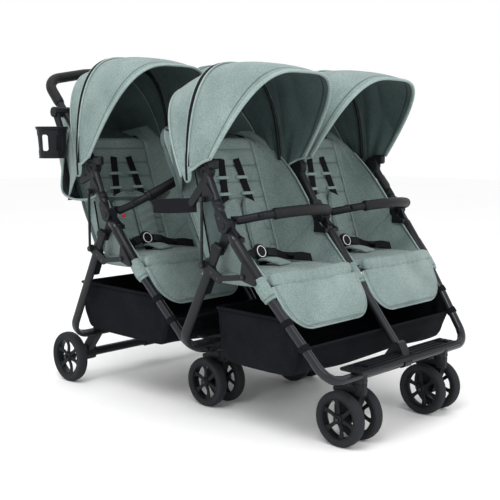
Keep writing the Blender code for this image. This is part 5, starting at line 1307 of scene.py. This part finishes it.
def makeHarness(row, sideName):
    mid, dy = seatPlace(row, sideName)[1:]
    node = f"{row}_backrest_{sideName}"
    straps, pads, loops = [], [], []
    face = liner["thick"] / 2
    for edge in (-1.0, 1.0):
        s = np.linspace(0, 1, 40)
        y, z = onPad(liner, 0.312 - 0.135 * s, face + 0.0010 + 0.0050 * s)
        x = mid + edge * (harness["topApart"] + (harness["lowApart"] - harness["topApart"]) * s)
        line = xyz(x, y + dy, z)
        straps.append(strap("web", line, harness["web"], harness["thin"], blackWebbing, (0.0, -1.0, 0.28)))
        for at in (0.42, 0.78):  # cloth keepers over the webbing
            spot = line[int(39 * at)]
            keeper = np.array([(spot[0] - 0.024, spot[1] + 0.004, spot[2]),
                               (spot[0] - 0.013, spot[1] - 0.0028, spot[2]),
                               (spot[0] + 0.013, spot[1] - 0.0028, spot[2]),
                               (spot[0] + 0.024, spot[1] + 0.004, spot[2])])
            loops.append(strap("keeper", through(keeper, 20), 0.0090, 0.0026, pipingCloth, (0.0, -1.0, 0.3)))
        # chest pad: a soft slab with a slanting, pointed top
        s = np.linspace(0, 1, 70)
        y, z = onPad(liner, 0.196 - 0.166 * s, face + 0.0085 + 0.010 * s ** 2)
        line = xyz(mid + edge * harness["padApart"], y + dy, z)
        wide = 0.46 + 0.54 * np.clip(s / 0.20, 0, 1) ** 0.7
        foot = np.clip((1 - s) / 0.07, 0.0, 1) ** 0.5
        thick = np.clip(np.minimum(s, 1 - s) / 0.03, 0.10, 1) ** 0.5
        grow = np.stack([wide * (0.72 + 0.28 * foot), thick * (1 + 0.10 * np.sin(6 * s))], -1)
        section = ovalSection(harness["padHalf"], 0.0072, 44, 0.55)
        points = carried(line, section, (0.0, -1.0, 0.30), grow)
        slant = edge * (points[..., 0] - line[:, None, 0]) / harness["padHalf"]
        points[..., 2] -= 0.012 * np.clip(slant + 0.6, 0, 2) * bell(s, 0, 0.16)[:, None]
        points[..., 1] += 0.0010 * np.sin(40 * s[:, None] + 3 * slant) * (section[None, :, 1] > 0)
        seam = bell(np.abs(section[:, 0]) / harness["padHalf"], 0.86, 0.05)
        pads.append(loft("pad", points, greenCloth, {"seam": seam * 0.7}))
    joined(f"{row}_shoulder_webbing_{sideName}", straps, node)
    chest = together(f"{row}_chest_pads_{sideName}", pads)
    riding(chest, node)
    joined(f"{row}_keepers_{sideName}", loops, node)
    # belts: out of the buckle's lugs, over the seat and back in a loose curl
    belts = []
    by, bz = harness["buckleY"] + dy, harness["buckleZ"]
    for edge in (-1.0, 1.0):
        line = through([(mid + a, by + b, bz + c) for a, b, c in harness["curls"][edge]], 80)
        belts.append(strap("belt", line, *harness["belt"], blackWebbing, squareTo(line, (0.0, 0.35, 1.0))))
        clip = through([(mid + edge * 0.030, by - 0.002, bz - 0.001),
                        (mid + edge * 0.042, by - 0.008, bz - 0.003),
                        (mid + edge * 0.056, by - 0.012, bz - 0.005)], 12)
        belts.append(loft("clip", carried(clip, ovalSection(0.0135, 0.0052, 24, 0.5), (0.0, -0.85, 0.5)),
                          mouldedPlastic))
        spot = line[int(len(line) * 0.34)]
        bar = np.array([spot + (0.0, -0.016, 0.004), spot + (0.0, 0.016, 0.004)])
        belts.append(loft("adjuster", carried(bar, ovalSection(0.0085, 0.0032, 18, 0.4), alongZ),
                          mouldedPlastic))
    line = through([(mid, by - 0.012, bz - 0.024), (mid, by - 0.026, bz - 0.029), (mid, by - 0.052, 0.4560),
                    (mid, by - 0.072, 0.4520)], 30)
    belts.append(strap("crotch", line, *harness["crotch"], blackWebbing, squareTo(line, alongX)))
    joined(f"{row}_belts_{sideName}", belts, row + "_chassis")
    line = through([(mid, by - 0.018, 0.4590), (mid, by - 0.042, 0.4625), (mid, by - 0.074, 0.4590),
                    (mid, by - 0.100, 0.4545)], 36)
    share = np.linspace(0, 1, 36)
    grow = np.stack([0.9 + 0.1 * hump(share), np.clip(np.minimum(share, 1 - share) / 0.06, 0.2, 1) ** 0.5],
                    -1)
    points = carried(line, ovalSection(0.0280, 0.0046, 32, 0.6), squareTo(line, alongX), grow)
    crotchPad = loft(f"{row}_crotch_pad_{sideName}", points, greenCloth)
    riding(crotchPad, row + "_chassis")
    # white ring round the buckle's button
    tilt = harness["buckleTilt"]
    out = np.array([0.0, -math.cos(tilt), math.sin(tilt)])
    up = np.array([0.0, math.sin(tilt), math.cos(tilt)])
    ring = rolledRing(f"{row}_buckle_ring_{sideName}", np.array([mid, by, bz]) + out * 0.0086, up, out,
                      0.0160, ovalSection(0.0014, 0.0011, 12), ringWhite, 64)
    riding(ring, row + "_chassis")


for row in rows:
    makeWraps(row)
    for sideName in sides:
        makeBack(row, sideName)
        makeSeat(row, sideName)
        makeSides(row, sideName)
        makeHarness(row, sideName)
print("seats upholstered")


# baskets: a trough swept across, its side walls drawn up to a rim that dips towards the front
basket = {"rim": 0.339, "frontRim": 0.268, "half": 0.350, "floor": 0.190, "thick": 0.0024, "frontIn": 0.017,
          "fold": 0.0050, "hanger": 0.0142, "overhang": {"front": -0.045, "rear": 0.080}}


def makeBasket(row, body):
    dy = rows[row]["back"]
    rim, low, lip = basket["rim"], basket["floor"], basket["frontRim"]
    rearY = elbow["y"] + (elbow["z"] - rim) * math.tan(legs["lean"]) + basket["overhang"][row]
    lipY = float(tubeY(lip)) + basket["frontIn"]
    wall = [(rearY, rim), (rearY - 0.007, 0.275), (rearY - 0.013, low + 0.022), (rearY - 0.030, low + 0.001),
            (rearY - 0.075, low - 0.004), ((rearY + lipY) / 2, low - 0.005), (lipY + 0.085, low - 0.004),
            (lipY + 0.042, low), (lipY + 0.020, low + 0.016), (lipY + 0.009, low + 0.044), (lipY, lip)]
    line = through(wall, 110)
    u = np.linspace(0, 1, 110)[:, None]
    v = np.linspace(-1, 1, 161)[None]
    y0, z0 = line[:, :1], line[:, 1:]
    toFront = np.clip((y0 - lipY) / (tubeY(rim) + 0.020 - lipY), 0, 1)
    rimZ = lip + (rim - lip) * toFront
    depth = np.clip((rimZ - z0) / (rimZ.max() - low), 0, 1)
    climb = np.clip((np.abs(v) - 0.84) / 0.16, 0, 1)  # share of the side wall
    lift = climb ** 1.35
    z = z0 + (rimZ - z0) * lift
    sag = (0.004 * np.sin(2 * np.pi * (v + 1)) - 0.004 * (1 - v ** 2)) * depth
    z = z + sag * (1 - lift)
    fold = basket["fold"] * np.sin(11 * v + 9 * u) * hump(depth) * (1 - lift)
    y = y0 + np.where(u > 0.5, -0.6, 1.0) * fold
    # bulging side walls with slanting folds
    wallBand = np.sin(np.pi * np.clip(lift, 0, 1))
    slant = np.sin(26 * u + 7 * lift) + 0.6 * np.sin(47 * u - 10 * lift + 1)
    bulge = (0.006 + basket["fold"] * 0.55 * slant) * wallBand * depth
    level = np.minimum(np.abs(v) / 0.84, 1) * (0.955 + 0.045 * climb ** 0.55)
    x = np.sign(v) * (level * basket["half"] + bulge)
    grid = xyz(x, y + dy, z)
    normal = normalsTowards(grid, grid - (0.0, (rearY + lipY) / 2 + dy, rim))
    seam = np.maximum(bell(np.abs(v), 0.848, 0.004), bell(depth, 0.12, 0.02))
    cloth = thickSheet(row + "_basket_cloth", grid, grid - normal * basket["thick"], charcoalCloth,
                       {"seam": seam * 0.6})
    riding(cloth, body, [row + "_basket"])
    parts = []
    for edge in (grid[0], grid[-1], grid[:, 0], grid[:, -1]):  # bound rims on all four sides
        parts.append(loft("binding", carried(edge, ovalSection(0.0042, 0.0042, 14), (0.3, 0.3, 1.0)),
                          charcoalCloth))
    # loops round the side tubes, two on each side
    for side in (-1.0, 1.0):
        for at in (rim - 0.006, lip + 0.006):
            x, yc = side * float(tubeX(at)), float(tubeY(at)) + dy
            t = np.linspace(0, 2 * np.pi, 40)
            across, down = basket["hanger"] * np.cos(t), basket["hanger"] * np.sin(t)
            loop = xyz(x + across, yc + down * math.cos(tubeLean), at - down * math.sin(tubeLean))
            axis = np.array((0.0, math.sin(tubeLean), math.cos(tubeLean)))
            section = ovalSection(0.0085, 0.0009, 14, 0.5)
            parts.append(loft("hanger", carried(loop, section, squareTo(loop, axis)), charcoalCloth))
    trims = joined(row + "_basket_binding", parts, body)
    declareSheet(grid)


makeBasket("front", "front_chassis")
makeBasket("rear", "rear_chassis")
print("baskets hung")


# covers: ruled from the hood's rear hem; front ones end on the shell, rear ones fall behind it, pushed clear
cover = {"low": 0.600, "lowHalf": 0.160, "clear": 0.008, "thick": 0.0018}


def makeCover(row, sideName):
    side, mid, dy = seatPlace(row, sideName)
    x = side * (canopy["outer"] + canopy["inner"]) / 2
    half = (canopy["outer"] - canopy["inner"]) / 2 - canopy["wall"] - 3 * canopy["gap"]
    last = canopy["rearLean"] if row == "front" else canopy["handleLean"]
    v = np.linspace(0.0, 1.0, 91)
    top = canopyShape(np.full_like(v, last), v, x, half - 0.003, -0.002, row, 0.0)
    t = np.linspace(0, 1, 70)[:, None, None]
    ripple = np.sin(14 * v[None] + 5 * t[..., 0]) * hump(t[..., 0])
    if row == "front":
        y, z = onPad(shell, 0.235 + 0.200 * hump(v) ** 0.6, -0.004)
        low = xyz(mid - 0.116 * np.cos(np.pi * v), y + dy, z)
        grid = top[None] * (1 - t) + low[None] * t
        grid[..., 2] -= (0.010 + 0.0015 * ripple) * hump(t[..., 0])
    else:
        lowY = shell["creaseY"] + dy + (cover["low"] - shell["creaseZ"]) * math.tan(shell["lean"]) + 0.030
        low = xyz(mid - cover["lowHalf"] * np.cos(np.pi * v), lowY, cover["low"])
        grid = top[None] * (1 - t) + low[None] * t
        shellY = (shell["creaseY"] + dy + (grid[..., 2] - shell["creaseZ"]) * math.tan(shell["lean"])
                  + shell["thick"] / 2 / math.cos(shell["lean"]) + cover["clear"])
        near = np.clip((0.172 - np.abs(grid[..., 0] - mid)) / 0.060, 0, 1)
        under = np.clip((0.945 - grid[..., 2]) / 0.110, 0, 1)
        begun = np.clip(t[..., 0] / 0.30, 0, 1)
        push = np.clip(shellY - grid[..., 1], 0, None)
        for share in (near, under, begun):
            push = push * (3 - 2 * share) * share ** 2
        grid[..., 1] += push + 0.0026 * ripple
    normal = normalsTowards(grid, grid - (mid, dy - 0.1, 0.75))
    seam = bell(t[..., 0], 0.97, 0.01)
    # front covers take the darker green copy on both faces, rear ones on their back faces: painted shade
    cloth = thickSheet(f"{row}_back_cover_{sideName}", grid, grid - normal * cover["thick"],
                       paintedShadeCloth if row == "front" else [greenCloth, paintedShadeCloth], {"seam": seam * 0.6})
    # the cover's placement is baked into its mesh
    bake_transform(cloth)
    declareSheet(grid)


# pocket: its outline at the side edges and in the middle, mixed by 1 - v ^ 4
pocket = {"half": 0.166, "thick": 0.0022,
          "edge": [(0.496, 0.815), (0.512, 0.761), (0.526, 0.715), (0.532, 0.655), (0.520, 0.619),
                   (0.470, 0.605), (0.405, 0.607), (0.362, 0.622)],
          "middle": [(0.656, 0.806), (0.650, 0.766), (0.626, 0.712), (0.590, 0.655), (0.546, 0.612),
                     (0.475, 0.590), (0.405, 0.592), (0.362, 0.612)]}
def makePocket(sideName):
    side, mid = seatPlace("rear", sideName)[:2]
    v = np.linspace(-1, 1, 81)[None]
    t = np.linspace(0, 1, 70)[:, None]
    edge, middle = through(pocket["edge"], 70), through(pocket["middle"], 70)
    share = (1 - v ** 4)[..., None]
    profile = edge[:, None] * (1 - share) + middle[:, None] * share
    x = mid + pocket["half"] * v * (1 - 0.08 * bell(t, 1, 0.3))
    ripple = 0.0030 * np.sin(8 * v + 6 * t + side)
    ripple = ripple + 0.0020 * np.sin(19 * t - 5 * v)
    grid = xyz(x, profile[..., 0] + ripple, profile[..., 1])
    normal = normalsTowards(grid, grid - (mid, 0.40, 0.75))
    seam = np.maximum(bell(t, 0.06, 0.010), bell(np.abs(v), 0.95, 0.012))
    # the pocket's back face takes the darker green copy: painted shade
    cloth = thickSheet("rear_pocket_" + sideName, grid, grid - normal * pocket["thick"],
                       [greenCloth, paintedShadeCloth], {"seam": seam * 0.6})
    riding(cloth, "rear_backrest_" + sideName)
    parts = []
    for line in (grid[:, 0], grid[:, -1], grid[0]):
        parts.append(loft("hem", carried(line, ovalSection(0.0036, 0.0034, 16), (0.4, 0.3, 1.0)),
                          pipingCloth))
    hems = joined("rear_pocket_hems_" + sideName, parts, "rear_backrest_" + sideName)
    declareSheet(grid)


# webbing slung in a loop behind the front row's seats
band = {"wide": 0.0400, "thick": 0.0022,
        "line": [(0.374, -0.128, 0.618), (0.372, -0.040, 0.610), (0.366, 0.050, 0.605), (0.340, 0.086, 0.602),
                 (0.280, 0.094, 0.600), (0.195, 0.096, 0.600), (0.110, 0.094, 0.600), (0.048, 0.070, 0.603),
                 (0.020, -0.010, 0.608)]}


def makeBand(row):
    parts = []
    for side in (-1.0, 1.0):
        line = through([(side * x, y + rows[row]["back"], z) for x, y, z in band["line"]], 90)
        parts.append(strap("band", line, band["wide"], band["thick"], blackWebbing, squareTo(line, alongZ)))
    joined(row + "_recline_band", parts, row + "_upper")


for sideName in sides:
    for row in rows:
        makeCover(row, sideName)
    makePocket(sideName)
makeBand("front")
print("pockets and bands on")


# finish of the solids that stay in view
plasticWords = ("fork", "footrest", "pedal", "cup", "buckle")
for name, node in frame["nodes"].items():
    if not node.hide_render:
        for slot in node.material_slots:
            slot.material = mouldedPlastic if any(word in name for word in plasticWords) else satinTube

# red release button under the rear right bumper's fitting
spot = (-0.352, -0.286 + rows["rear"]["back"], 0.566)
riding(button("release_button", 0.004, 0.0046, spot, releaseRed, 20), "rear_chassis")

# rims of the cup: two rolled rings
cup = {"x": -0.445, "y": 0.452, "rims": (("top", 0.8315, 0.0482, 0.0022), ("foot", 0.7385, 0.0394, 0.0018))}
for label, z, radius, roll in cup["rims"]:
    rim = rolledRing("cup_rim_" + label, (cup["x"], cup["y"], z), (0.0, 1.0, 0.0), alongZ, radius,
                     ovalSection(roll, roll, 14), mouldedPlastic, 72)
    riding(rim, "rear_upper")
print("small parts done")
